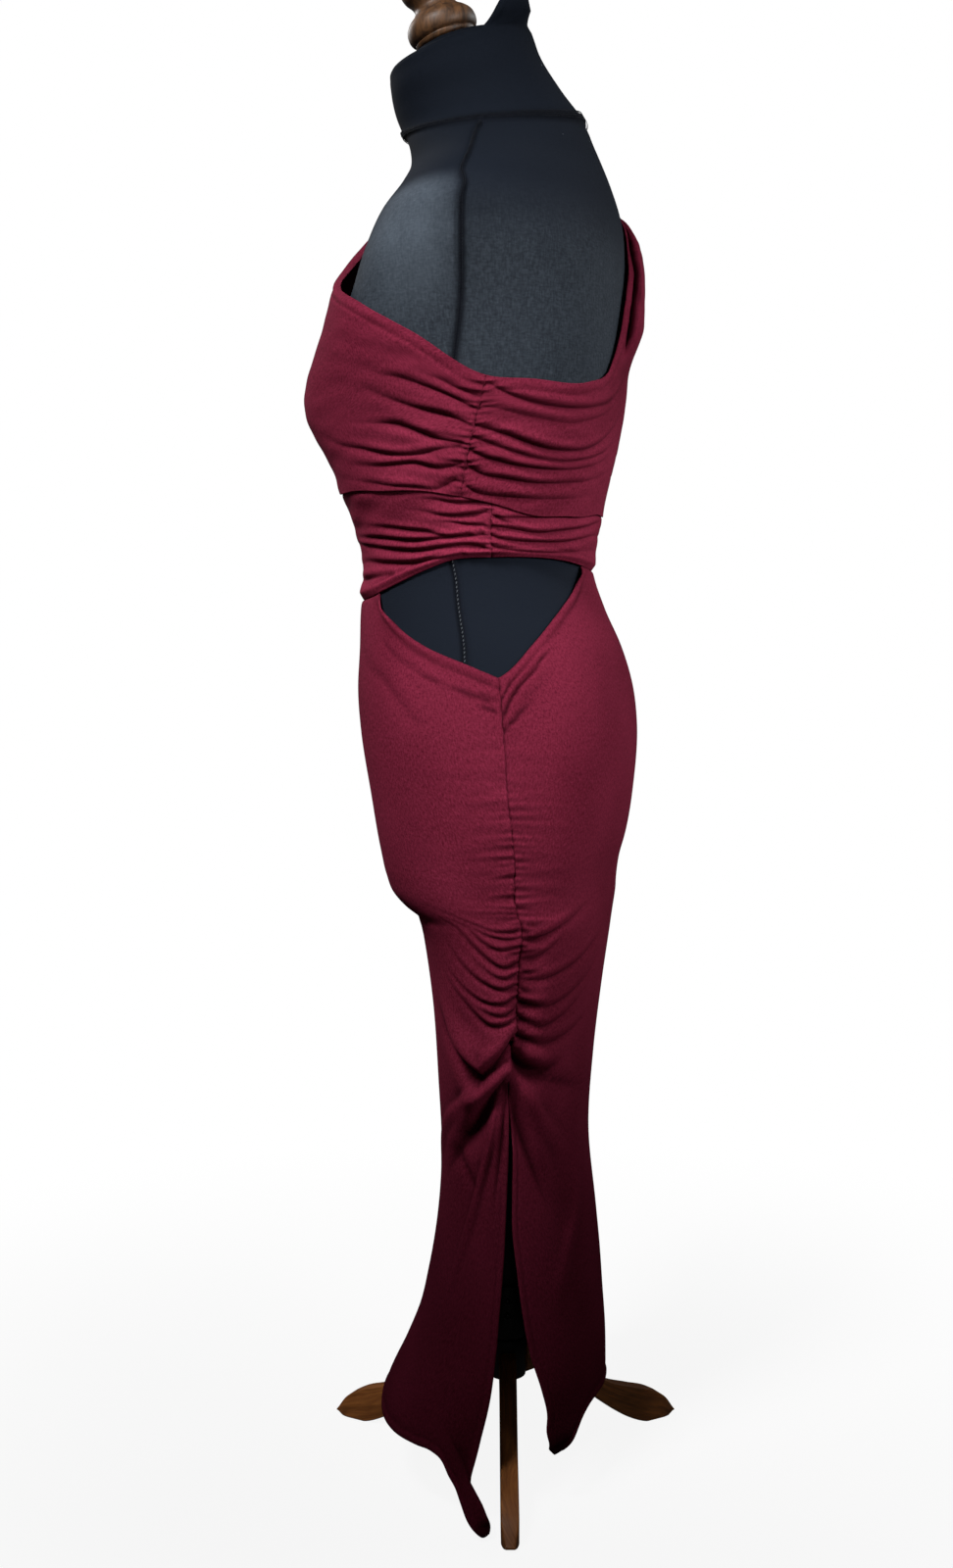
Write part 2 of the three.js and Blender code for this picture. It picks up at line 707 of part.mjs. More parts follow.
const stand = new THREE.Group();
dress.add(stand);
for (let k = 0; k < leg.count; k += 1) {
  const board = add(`leg_${k + 1}`, legBoard(), finish.wood, stand);
  board.rotation.z = radians(leg.firstTurn + (360 / leg.count) * k);
}
collarScrew.heights.forEach((height, k) => {
  const turn = radians(leg.firstTurn);
  const screw = add(`collar_screw_${k + 1}`, screwHead, finish.steel, stand);
  const out = collar.radius + fit + 1;
  screw.position.set(out * Math.cos(turn), out * Math.sin(turn), height);
  screw.rotation.set(0, Math.PI / 2, 0);
  screw.rotation.order = "ZYX";
  screw.rotation.z = turn;
});

// The origin is the middle of the base of the whole, on the floor.
const box = new THREE.Box3().setFromObject(dress, true);
const centre = box.getCenter(new THREE.Vector3());
dress.position.set(-centre.x, -centre.y, -box.min.z);

export default dress;
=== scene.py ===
import math
import random

import bpy
import numpy as np
from mathutils import Matrix, Vector


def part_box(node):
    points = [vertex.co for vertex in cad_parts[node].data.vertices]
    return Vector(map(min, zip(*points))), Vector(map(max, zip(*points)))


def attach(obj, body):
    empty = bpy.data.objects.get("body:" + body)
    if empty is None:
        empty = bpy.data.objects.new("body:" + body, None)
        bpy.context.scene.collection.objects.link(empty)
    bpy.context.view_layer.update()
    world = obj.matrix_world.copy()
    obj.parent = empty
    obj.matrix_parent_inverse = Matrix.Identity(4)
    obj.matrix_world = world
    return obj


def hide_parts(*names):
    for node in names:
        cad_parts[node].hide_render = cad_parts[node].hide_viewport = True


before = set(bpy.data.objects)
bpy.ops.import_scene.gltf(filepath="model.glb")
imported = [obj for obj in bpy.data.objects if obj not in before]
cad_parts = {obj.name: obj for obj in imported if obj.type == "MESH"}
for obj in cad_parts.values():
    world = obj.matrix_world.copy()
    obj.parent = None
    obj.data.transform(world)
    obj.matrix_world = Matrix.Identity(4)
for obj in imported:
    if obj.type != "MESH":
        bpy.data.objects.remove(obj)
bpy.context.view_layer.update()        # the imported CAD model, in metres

# Lengths in the tables are millimetres round the stand's pole. Turn 0 is the middle of the front,
# 90 the wearer's left, 180 the back and -90 or 270 the wearer's right.
mm = 0.001
poleLow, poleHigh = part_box("pole")
poleAxis = np.array([(poleLow.x + poleHigh.x) / 2, (poleLow.y + poleHigh.y) / 2, 0.0])


def linear(code):  # an sRGB hex colour as the linear colour that shaders want
    channels = [int(code[k:k + 2], 16) / 255 for k in (1, 3, 5)]
    return [c / 12.92 if c <= 0.04045 else ((c + 0.055) / 1.055) ** 2.4 for c in channels] + [1.0]


def addNode(tree, kind, settings=(), **links):  # a socket by its name, with _ for a space, or as _0, _1
    node = tree.nodes.new(kind)
    for name, value in dict(settings).items():
        setattr(node, name, value)
    for name, value in links.items():
        socket = node.inputs[int(name[1:])] if name[1:].isdigit() else node.inputs[name.replace("_", " ")]
        if isinstance(value, bpy.types.NodeSocket):
            tree.links.new(value, socket)
        else:
            socket.default_value = value
    return node


def newMaterial(name):
    material = bpy.data.materials.new(name)
    material.use_nodes = True
    material.node_tree.nodes.clear()
    return material, material.node_tree


def putIn(name, data):
    item = bpy.data.objects.new(name, data)
    bpy.context.collection.objects.link(item)
    return item


def meshPiece(name, points, faces, material, cut=None):  # points in mm round the pole
    mesh = bpy.data.meshes.new(name)
    placed = np.asarray(points) * mm + poleAxis
    mesh.from_pydata(placed.tolist(), [], [list(face) for face in faces])
    mesh.polygons.foreach_set("use_smooth", np.ones(len(mesh.polygons), bool))
    if cut is not None:  # the flat cut's own coordinates, in metres
        corners = np.empty(len(mesh.loops), np.int32)
        mesh.loops.foreach_get("vertex_index", corners)
        mesh.uv_layers.new(name="cut").data.foreach_set("uv", (np.asarray(cut)[corners] * mm).ravel())
    mesh.materials.append(material)
    mesh.update()
    return putIn(name, mesh)


def gridQuads(rows, columns, start=0, inside=False):
    at = start + np.arange((rows - 1) * columns).reshape(rows - 1, columns)[:, :-1].ravel()
    quads = np.stack([at, at + 1, at + columns + 1, at + columns], 1)
    return quads[:, ::-1] if inside else quads


# Shares from 0 to 1 that lie closer together at either end, or near the places in close.
def packed(count, atStart=1.0, atEnd=1.0, over=0.06, close=()):
    fine = np.linspace(0, 1, 4001)
    density = 1 + (atStart - 1) * np.exp(-fine / over) + (atEnd - 1) * np.exp(-(1 - fine) / over)
    for place, width, times in close:
        density += (times - 1) * np.exp(-((fine - place) / width) ** 2)
    reached = np.concatenate([[0], np.cumsum((density[1:] + density[:-1]) / 2)])
    return np.interp(np.linspace(0, reached[-1], count + 1), reached, fine)


def table(names, rows):
    return dict(zip(names.split(), np.array(rows, float).T))


# Reads a column of a table at any place, as a smooth curve through its rows.
def read(rows, key, at, name):
    x, y = rows[key], rows[name]
    step = np.diff(x)
    rise = np.diff(y) / step
    slope = np.empty_like(x)
    slope[0], slope[-1] = rise[0], rise[-1]
    slope[1:-1] = (rise[:-1] * step[1:] + rise[1:] * step[:-1]) / (step[1:] + step[:-1])
    at = np.clip(at, x[0], x[-1])
    i = np.clip(np.searchsorted(x, at) - 1, 0, len(x) - 2)
    t = (at - x[i]) / step[i]
    t2, t3 = t * t, t * t * t
    start = (2 * t3 - 3 * t2 + 1) * y[i] + (t3 - 2 * t2 + t) * step[i] * slope[i]
    return start + (3 * t2 - 2 * t3) * y[i + 1] + (t3 - t2) * step[i] * slope[i + 1]


def bell(x, width):
    return np.exp(-(x / width) ** 2)


def ease(t):
    t = np.clip(t, 0, 1)
    return t * t * (3 - 2 * t)


def between(a, b, t):
    return a + (b - a) * t


bust = {"apart": 146, "valley": 9, "height": 982, "proud": 27, "wide": 48, "above": 62, "below": 46}

# The form and the skirt as level sections: half the width, the depths to the front and the back, a lean in
# degrees, and how square each one is.
sectionNames = "z wide front back lean square"
figureRows = [
    (529, 146, 52, 62, 0, 0.04), (531, 154, 60, 71, 0, 0.04), (538, 161, 68, 80, 0, 0.04),
    (546, 165.5, 80, 86, 0, 0.04), (556, 168.5, 90, 91, 0, 0.04), (572, 170.5, 97.5, 95.5, 0, 0.04),
    (592, 172, 102.5, 101, 0, 0.04), (642, 173, 112, 109, 0, 0.04), (696, 168, 122, 112, 0, 0.04),
    (732, 158, 126, 108, 0, 0.04), (768, 145, 127, 98, 0, 0.03), (803, 132, 128, 83, 0, 0.02),
    (839, 124, 123, 72, 0, 0.02), (874, 130, 130, 75, 0, 0.02), (909, 141, 140, 84, 0, 0.03),
    (985, 160, 145, 99, 0, 0.04), (1065, 170, 130, 101, 0, 0.04), (1115, 179, 118, 101, 0, 0.02),
    (1145, 178, 108.5, 99, 0, -0.01), (1172, 156, 93, 91, 0, -0.03), (1192, 124, 86, 83, 0, -0.03),
    (1210, 94, 88, 75, 0, 0),
    (1227, 72, 95, 66, 3, 0), (1247, 62, 102, 48, 7, 0), (1275, 57, 108, 28, 13, 0),
    (1286, 51, 109.5, 24, 14.5, 0), (1293, 48, 109, 21, 15, 0), (1296.5, 44, 106, 17, 15.5, 0),
    (1299.5, 36, 97, 3, 17, 0), (1302, 30, 88, -18, 19, 0), (1303.4, 24, 80, -32, 19.5, 0),
]
drapeRows = [
    (-20, 160, 128, 92, 0, 0), (43, 158, 120, 92, 0, 0), (81, 157, 110, 91, 0, 0), (120, 155, 92, 90, 0, 0),
    (158, 152, 77, 87, 0, 0), (196, 150, 68, 84, 0, 0), (234, 148, 61, 80, 0, 0), (310, 147, 54, 72, 0, 0),
    (385, 151, 57, 76, 0, 0), (459, 158, 61, 84, 0, 0.01), (505, 163, 66, 90, 0, 0.02),
    (520, 165, 67, 91.5, 0, 0.03), (531, 167, 68, 92.5, 0, 0.04), (539, 168.5, 71.5, 93.5, 0, 0.04),
    (546, 169.5, 82, 94, 0, 0.04), (556, 170.8, 92.5, 95, 0, 0.04),
]
# innerShade is the painted shade given to the cloth's inner side
jersey = {"thickness": 1.3, "hug": 2.0, "seamGap": 0.4, "innerShade": 0.6}
hug = jersey["hug"]
hipRows = [(z, wide + hug, front + hug, back + hug, lean, square)
           for z, wide, front, back, lean, square in figureRows if 570 <= z <= 909]
figure = table(sectionNames, figureRows)
skirtTable = table(sectionNames, drapeRows + hipRows)


def sectionPoint(rows, turn, z):
    wide, front, back, lean, square = (read(rows, "z", z, name) for name in sectionNames.split()[1:])
    angle, tip = np.radians(turn), np.radians(lean)
    across = wide * (np.sin(angle) + square * np.sin(3 * angle)) / (1 - square)
    deep = (front + back) / 2 * (np.cos(angle) - square * np.cos(3 * angle)) / (1 - square)
    return np.stack([across, (back - front) / 2 - deep * np.cos(tip), z - deep * np.sin(tip)], -1)


def formPoint(turn, z):
    point = sectionPoint(figure, turn, z)
    up = z - bust["height"]
    side = bell(np.hypot(point[..., 0], bust["valley"]) - bust["apart"] / 2, bust["wide"])
    level = bell(up, np.where(up > 0, bust["above"], bust["below"]))
    facing = np.clip(1.6 * np.cos(np.radians(turn)), 0, 1)
    point[..., 1] -= bust["proud"] * side * level * facing
    return point


def skirtPoint(turn, z):
    return sectionPoint(skirtTable, turn, z)


def outward(surface, turn, z):
    across = surface(turn + 0.05, z) - surface(turn - 0.05, z)
    up = surface(turn, z + 0.5) - surface(turn, z - 0.5)
    normal = np.cross(across, up)
    return normal / np.linalg.norm(normal, axis=-1, keepdims=True)


# The dress's outlines, as heights round the body.
neckline = table("turn z", [
    (-90, 1204), (-70, 1201), (-50, 1193), (-30, 1177), (-15, 1157), (-3, 1136), (5, 1119), (17, 1095),
    (30, 1077), (54, 1057), (78, 1031), (103, 996), (120, 993), (147, 994), (162, 1008), (172, 1040),
    (182, 1082), (189, 1110), (194, 1132), (200, 1151), (209, 1168), (228, 1184), (245, 1192), (270, 1204),
])
underBust = table("turn z", [
    (-90, 900), (0, 908), (60, 908), (97, 903), (115, 892), (180, 889), (225, 893), (270, 900),
])
bandFoot = table("turn z", [
    (-90, 834), (-45, 818), (0, 811), (50, 817), (65, 827), (78, 837), (92, 846), (109, 848), (140, 847),
    (167, 841), (180, 838), (225, 836), (270, 834),
])
cutOut = table("turn drop", [
    (50, 0), (56, 17), (64, 37), (76, 62), (92, 87.5), (101, 98), (104, 100.5), (107, 97), (119, 76),
    (130, 59), (141, 43), (154, 24), (167, 0),
])
hem = table("turn front back", [
    (-90, 14, 14), (-80, 11, 11), (-66, 21, 21), (-48, 42, 42), (-30, 58, 58), (0, 70, 70), (14, 71, 71),
    (28, 67, 67), (47, 67, 67), (66, 69, 66), (75, 68.5, 62), (82, 61.5, 56), (86, 51, 50), (90.5, 41, 50),
    (93.5, 30, 50), (96.5, 18, 50), (99.5, 10, 50), (102.5, 4, 50), (106, 8, 50), (131, 8, 50), (137, 9, 49),
    (141, 9, 49), (145.5, 9, 51), (150, 20, 61), (155, 50, 72), (162, 79, 79), (167, 80, 80), (182, 77, 77),
    (210, 66, 66), (232, 52, 52), (254, 30, 30), (270, 14, 14),
])
slitTop = 414
seamLine = table("z front back", [
    (-20, 106, 146), (4, 105, 146), (13, 105.2, 146), (25, 103.2, 146), (36, 100.8, 145), (43, 97.5, 143.5),
    (50, 96.6, 140.5), (58, 97, 136.8), (66, 97.8, 134.6), (78, 98.8, 132.6), (93, 99.5, 132.4),
    (119, 100, 128), (157, 100, 120), (194, 100.5, 115), (230, 102, 111.8), (265, 104, 109.6),
    (300, 106.2, 110.4), (335, 107.2, 110.6),
    (369, 107.2, 109.6), (395, 106.8, 108.2), (slitTop, 107.4, 107.4), (427, 109.2, 109.2),
    (440, 110.2, 110.2), (457, 110.4, 110.4), (475, 110, 110), (501, 109.4, 109.4), (520, 109.2, 109.2),
    (536, 109.8, 109.8), (556, 110.2, 110.2), (578, 109.8, 109.8), (612, 107.8, 107.8), (645, 105.6, 105.6),
    (692, 104.4, 104.4), (745, 103.8, 103.8),
])
seamTurns = {"bodice": 97, "bodiceRake": 7, "band": 109, "skirt": 106, "swags": 112, "swagFolds": 111}
rightSeam = {"front": -90, "back": 270}  # the same seam, reached from either side
meanRadius = 150
halfGap = math.degrees(jersey["seamGap"] / 2 / meanRadius)
degreeWide = 2.2  # mm of cloth to a degree, beside the skirt's side seams
torsoDegree = 2.0  # the same, beside the bodice's and the band's
neckDegree = 2.7  # the same, at the neckline


def heightOf(rows, turn, name="z"):
    return read(rows, "turn", turn, name)


def skirtTop(turn):
    drop = np.where((turn > 50) & (turn < 167), heightOf(cutOut, turn, "drop"), 0)
    return heightOf(bandFoot, turn) - jersey["seamGap"] - drop


# A crease is (width, depth, peak, line): its half-width and depth in mm, a trough where the depth is
# below 0, the share of its line where it is deepest, and the line as (turn, z), from the seam outwards.
def creaseRelief(turn, z, creases, lip=0.42):
    relief = np.zeros_like(z)
    for width, depth, peak, line in creases:
        line = np.array(line, float) * [degreeWide, 1]
        share = np.linspace(0, 1, len(line))
        fine = np.linspace(0, 1, 4 * len(line))
        x, y = (read({"s": share, "v": line[:, k]}, "s", fine, "v") for k in (0, 1))
        reach = 6 * width
        near = (turn * degreeWide > x.min() - reach) & (turn * degreeWide < x.max() + reach)
        near &= (z > y.min() - reach) & (z < y.max() + reach)
        px, py = turn[near] * degreeWide, z[near]
        best, along, side = np.full(px.shape, 1e9), np.zeros(px.shape), np.ones(px.shape)
        for k in range(len(fine) - 1):
            dx, dy = x[k + 1] - x[k], y[k + 1] - y[k]
            t = np.clip(((px - x[k]) * dx + (py - y[k]) * dy) / (dx * dx + dy * dy), 0, 1)
            away = np.hypot(px - x[k] - t * dx, py - y[k] - t * dy)
            closer = away < best
            best = np.where(closer, away, best)
            along = np.where(closer, between(fine[k], fine[k + 1], t), along)
            side = np.where(closer, np.sign(py - y[k] - t * dy), side)
        fade = np.where(along < peak, 0.55 + 0.45 * ease(along / peak), ease((1 - along) / (1 - peak)))
        if depth < 0:  # a sharp trough under a full, steep lip, with a softer one below it
            bottom = np.exp(-(best / (width * np.where(side > 0, 0.75, 1.2))) ** 1.2)
            above = 1.3 * bell(best - 2.0 * width, 1.5 * width)
            below = 0.6 * bell(best - 2.8 * width, 2.0 * width)
            shape = bottom - lip * np.where(side > 0, above, below)
        else:
            shape = bell(best, width)
        relief[near] += depth * fade * shape
    return relief


# The same folds again on the hidden side: turned over onto the right seam, each moved and changed a little.
def mirrored(creases, seam, side, seed):
    draw = random.Random(seed)
    out = []
    for width, depth, peak, line in creases:
        lift, times, reach = draw.uniform(-5, 5), draw.uniform(0.75, 1.15), draw.uniform(0.85, 1.1)
        turned = [(side - (turn - seam) * reach, z + lift * (1 - k / len(line)))
                  for k, (turn, z) in enumerate(line)]
        out.append((width * draw.uniform(0.9, 1.15), depth * times, peak, turned))
    return out


# Short puckers that a gathering thread pulls up along a seam. A stretch is (low, high, spacing, height,
# reach, tilt): where it runs, how far apart, high and long the puckers are, and how they rise outwards.
def puckers(aside, z, stretches, seed):
    draw = random.Random(seed)
    relief = np.zeros_like(z)
    for low, high, spacing, height, reach, tilt in stretches:
        at = low
        while at < high:
            tall, far = height * draw.uniform(0.45, 1.25), reach * draw.uniform(0.5, 1.35)
            wide, slope = spacing * draw.uniform(0.34, 0.48), tilt + draw.uniform(-0.1, 0.1)
            near = (aside < 2.4 * far) & (np.abs(z - at - slope * aside) < 4 * wide)
            x, y = aside[near], z[near]
            relief[near] += tall * bell(y - at - slope * x, wide) * np.exp(-(x / far) ** 1.6)
            at += spacing * draw.uniform(0.65, 1.4)
    return relief


# The gathers drag a side seam a little from side to side, in degrees.
def seamWander(z):
    return 0.6 * np.sin(0.93 * z + 1) + 0.4 * np.sin(0.41 * z)


# Cloth is never quite even between its folds.
def unevenness(turn, z, seed):
    draw = random.Random(seed)
    relief = np.zeros_like(z)
    for _ in range(7):
        slope, phase = draw.uniform(-0.25, 0.25), draw.uniform(0, 6.28)
        relief += np.sin(z * draw.uniform(0.16, 0.42) + turn * slope + phase) * draw.uniform(0.1, 0.22)
    return relief


# A sewn edge dips to its seam, and a free edge rolls a little where it is turned in.
def seamDip(aside):
    return -1.3 * np.exp(-aside / 1.3)


def edgeRoll(away):
    return 1.1 * bell(away - 3.0, 3.0) - 0.7 * bell(away - 8.5, 1.8)


# 1 along the cut-out's edge and 0 beyond its two ends.
def alongCut(turn, first, last):
    return ease((turn - first) / 8) * ease((last - turn) / 8)


# How deep each point lies in its folds, from 0 to 1: how far it is below the smoothed cloth around it.
# The cloth gets painted shade by it.
def hollows(middle):
    deep = np.zeros_like(middle)
    for passes, full in ((6, 1.1), (50, 4.5)):
        smooth = middle
        for _ in range(passes):
            wide = np.pad(smooth, 1, mode="edge")
            below, above, before, after = wide[:-2, 1:-1], wide[2:, 1:-1], wide[1:-1, :-2], wide[1:-1, 2:]
            smooth = (smooth + below + above + before + after) / 5
        deep = np.maximum(deep, np.clip((smooth - middle) / full, 0, 1))
    return deep


# A panel of cloth with both its sides: place(u, v) gives the turn and height across and up it, lift its
# distance from the surface, slide a further move in mm, and shade how much painted shade it gets.
def clothPanel(name, surface, place, lift, across, along, slide=None, shade=None):
    u, v = np.meshgrid(across, along)
    turn, z = place(u, v)
    point, normal = surface(turn, z), outward(surface, turn, z)
    middle = lift(turn, z, v)
    if slide is not None:
        point = point + slide(turn, z)
    half = jersey["thickness"] / 2
    outer = point + normal * (middle + half)[..., None]
    inner = point + normal * (middle - half)[..., None]
    rows, columns = u.shape
    count = rows * columns
    rim = [(0, i) for i in range(columns - 1)] + [(j, columns - 1) for j in range(rows - 1)]
    rim += [(rows - 1, i) for i in range(columns - 1, 0, -1)] + [(j, 0) for j in range(rows - 1, 0, -1)]
    j, i = np.array(rim).T
    centre = (outer + inner) / 2
    back = centre[np.clip(j, 1, rows - 2), np.clip(i, 1, columns - 2)]
    away = centre[j, i] - back
    edge = centre[j, i] + half * 0.9 * away / np.linalg.norm(away, axis=1, keepdims=True)
    at = j * columns + i
    nextAt, k = np.roll(at, -1), np.arange(len(at))
    nextK = np.roll(k, -1)
    wall = 2 * count
    quads = np.concatenate([
        gridQuads(rows, columns),
        gridQuads(rows, columns, count, inside=True),
        np.stack([at, wall + k, wall + nextK, nextAt], 1),
        np.stack([wall + k, count + at, count + nextAt, wall + nextK], 1),
    ])
    # the cut: how far each point lies across its row from the middle column, and up that column
    stepAcross = np.linalg.norm(np.diff(centre, axis=1), axis=2)
    reach = np.concatenate([np.zeros((rows, 1)), np.cumsum(stepAcross, 1)], 1)
    reach -= reach[:, [columns // 2]]
    stepUp = np.linalg.norm(np.diff(centre, axis=0), axis=2)
    rise = np.concatenate([np.zeros((1, columns)), np.cumsum(stepUp, 0)], 0)
    rise -= rise[[rows // 2], :]
    cut = np.stack([reach, rise], -1)
    points = np.concatenate([outer.reshape(-1, 3), inner.reshape(-1, 3), edge])
    cuts = np.concatenate([cut.reshape(-1, 2), cut.reshape(-1, 2), cut[j, i]])
    piece = meshPiece(name, points, quads.tolist(), jerseyMaterial, cuts)
    # painted shade: darker down in the folds, more where the panel's shade says, and a fixed share on the
    # inner side
    deep = hollows(middle)
    if shade is not None:
        deep = between(deep, 1, np.clip(shade(turn, z), 0, 1))
    values = np.concatenate([deep.ravel(), np.full(count, jersey["innerShade"]), deep[j, i]])
    piece.data.attributes.new("hollow", "FLOAT", "POINT").data.foreach_set("value", values)
    size = [round(float(np.ptp(way))) for way in (reach, rise)]
    print(name, "is", size[0], "by", size[1], "mm along its grid, with", 2 * len(quads), "triangles")
    return piece


# Matt polyester jersey: knitted, so it has fine upright wales, a soft fuzz on its edges, and no gloss.
jerseyLook = {
    # folded is the colour of the painted shade that the hollow attribute mixes in
    "colour": "#742439", "deep": "#450f1c", "folded": "#190307", "bloom": "#8a3048",
    "wale": 1.5,  # mm between wales; the real ones are about 0.5 mm and too fine to show
    "fleck": 2.0, "waleShare": 0.35, "fleckShare": 0.45, "broadShare": 0.2, "tones": (0.36, 0.64),
    "foldShadeShare": 0.8, "roughness": 0.95, "gloss": 0.01, "sheen": 0.04,
}


def makeJersey():
    look = jerseyLook
    material, tree = newMaterial("plum matt jersey")
    cut = addNode(tree, "ShaderNodeUVMap", {"uv_map": "cut"}).outputs["UV"]
    # grain: noise stretched up the cloth, at the wale's width
    upright = addNode(tree, "ShaderNodeMapping", Vector=cut, Scale=(1, 0.35, 1))
    wales = addNode(tree, "ShaderNodeTexNoise", Vector=upright.outputs[0],
                    Scale=1 / (look["wale"] * mm), Detail=2.0, Roughness=0.6)
    fleck = addNode(tree, "ShaderNodeTexNoise", Vector=cut,
                    Scale=1 / (look["fleck"] * mm), Detail=3.0, Roughness=0.7)
    broad = addNode(tree, "ShaderNodeTexNoise", Vector=cut, Scale=9.0, Detail=2.0)
    lined = addNode(tree, "ShaderNodeMath", {"operation": "MULTIPLY"},
                    _0=wales.outputs["Fac"], _1=look["waleShare"])
    flecked = addNode(tree, "ShaderNodeMath", {"operation": "MULTIPLY_ADD"},
                      _0=fleck.outputs["Fac"], _1=look["fleckShare"], _2=lined.outputs[0])
    uneven = addNode(tree, "ShaderNodeMath", {"operation": "MULTIPLY_ADD"},
                     _0=broad.outputs["Fac"], _1=look["broadShare"], _2=flecked.outputs[0])
    tone = addNode(tree, "ShaderNodeValToRGB", Fac=uneven.outputs[0])
    for stop, place, colour in zip(tone.color_ramp.elements, look["tones"], ("deep", "colour")):
        stop.position, stop.color = place, linear(look[colour])
    # painted shade: darker down in the folds, on the inner side, and where a panel's shade says so
    hollow = addNode(tree, "ShaderNodeAttribute", {"attribute_name": "hollow"})
    deeper = addNode(tree, "ShaderNodeMath", {"operation": "MULTIPLY"},
                     _0=hollow.outputs["Fac"], _1=look["foldShadeShare"])
    shaded = addNode(tree, "ShaderNodeMix", {"data_type": "RGBA"}, Factor=deeper.outputs[0],
                     _6=tone.outputs["Color"], _7=linear(look["folded"]))
    grain = addNode(tree, "ShaderNodeBump", Strength=0.35, Distance=0.0004, Height=wales.outputs["Fac"])
    soft = addNode(tree, "ShaderNodeTexNoise", Vector=cut, Scale=60.0, Detail=3.0)
    slack = addNode(tree, "ShaderNodeBump", Strength=0.25, Distance=0.0012,
                    Height=soft.outputs["Fac"], Normal=grain.outputs["Normal"])
    shader = addNode(tree, "ShaderNodeBsdfPrincipled", Base_Color=shaded.outputs[2],
                     Roughness=look["roughness"], Specular_IOR_Level=look["gloss"],
                     Sheen_Weight=look["sheen"], Sheen_Roughness=0.45, Sheen_Tint=linear(look["bloom"]),
                     Normal=slack.outputs["Normal"])
    addNode(tree, "ShaderNodeOutputMaterial", Surface=shader.outputs[0])
    return material


jerseyMaterial = makeJersey()

# The bodice, with its strap on the right shoulder, gathered along the left side seam.
# dim and dimHigh set the painted shade over the bodice, and more towards its top
bodice = {"columns": 200, "rows": 150, "swell": 3.2, "armLow": 1012, "armHigh": 1164,
          "armFront": 27, "armBack": 30, "seamFoot": 903, "seamHigh": 92, "dim": 0.15, "dimHigh": 0.22}
bodiceCreases = {
    "front": [
        (2.2, -2.3, 0.25, [(101, 980), (94.5, 986), (88, 994), (80, 1000)]),
        (2.4, -3.0, 0.2, [(100, 971), (93, 979), (86, 986), (75.5, 995), (66.5, 1000), (57, 1012)]),
        (2.5, -3.2, 0.25, [(98, 959), (92, 964), (84, 969), (76, 975), (66.5, 984), (57, 993)]),
        (2.7, -3.6, 0.4, [(97, 943), (88.5, 946), (83, 951), (74.5, 958), (65, 960), (50, 962)]),
        (2.5, -3.2, 0.45, [(96.5, 939), (89.5, 938), (81.5, 934), (71, 934), (60, 939), (46, 945),
                           (32, 960)]),
        (2.4, -3.5, 0.4, [(96.5, 926), (88.5, 923), (80, 927), (70.5, 926), (61, 926), (46, 930)]),
        (2.2, -2.6, 0.3, [(95, 914), (87, 907), (79, 909), (68, 911), (54, 915), (34, 920)]),
    ],
    "back": [
        (2.4, -3.3, 0.35, [(104.5, 991), (110, 983), (117.5, 977), (127, 973), (139.5, 972), (154, 976),
                          (166, 985), (176.5, 1001), (185.5, 1025), (191, 1056)]),
        (3.1, -1.7, 0.5, [(101.5, 973), (110.5, 969), (120.5, 964), (137, 960), (148.5, 964),
                          (162.5, 973), (175, 990), (186, 1012)]),
        (2.5, -4.0, 0.4, [(101, 957), (106.5, 953), (114, 948), (122, 942), (131, 938), (143.5, 938),
                          (154, 942), (166.5, 954), (180, 975), (190, 1000)]),
        (2.2, -3.0, 0.45, [(100, 948), (109.5, 940), (117, 935), (125.5, 931), (138.5, 929), (151, 932),
                           (163.5, 938), (172.5, 946), (188, 966)]),
        (2.2, -3.5, 0.35, [(99, 939), (104.5, 932), (114, 926), (123.5, 923), (136, 922), (152, 925),
                           (168.5, 934), (186, 950)]),
        (2.2, -2.9, 0.35, [(98, 928), (104, 918), (113, 914), (124, 911), (137.5, 911), (154, 914),
                           (172, 922), (190, 934)]),
        (2.1, -2.4, 0.3, [(97.5, 912), (103, 904), (111, 900), (123, 899), (136, 899), (153, 901),
                          (177, 908)]),
    ],
}
strapCreases = {  # folds that run up into the strap and fan out below it
    "front": [
        (6, -2.4, 0.3, [(-78, 1186), (-60, 1160), (-42, 1122), (-28, 1080), (-18, 1030)]),
        (7, -2.2, 0.3, [(-84, 1176), (-66, 1136), (-54, 1090), (-46, 1040), (-40, 1000)]),
        (6, 2.0, 0.35, [(-70, 1178), (-50, 1142), (-34, 1102), (-22, 1058)]),
    ],
    "back": [
        (5, -3.2, 0.4, [(262, 1192), (240, 1166), (222, 1130), (210, 1090), (200, 1050), (192, 1010)]),
        (5, -2.6, 0.4, [(266, 1184), (250, 1150), (236, 1104), (226, 1060), (216, 1015), (204, 980)]),
        (5, 2.4, 0.35, [(256, 1184), (236, 1148), (222, 1106), (212, 1066)]),
        (1.8, 1.6, 0.3, [(194, 1121), (199, 1119), (204, 1116)]),
        (1.6, 1.4, 0.3, [(197, 1131), (202, 1130), (208, 1127)]),
    ],
}
bodicePuckers = [(906, 992, 4.6, 2.0, 9, 0.2), (908, 990, 7.6, 1.2, 26, 0.14)]


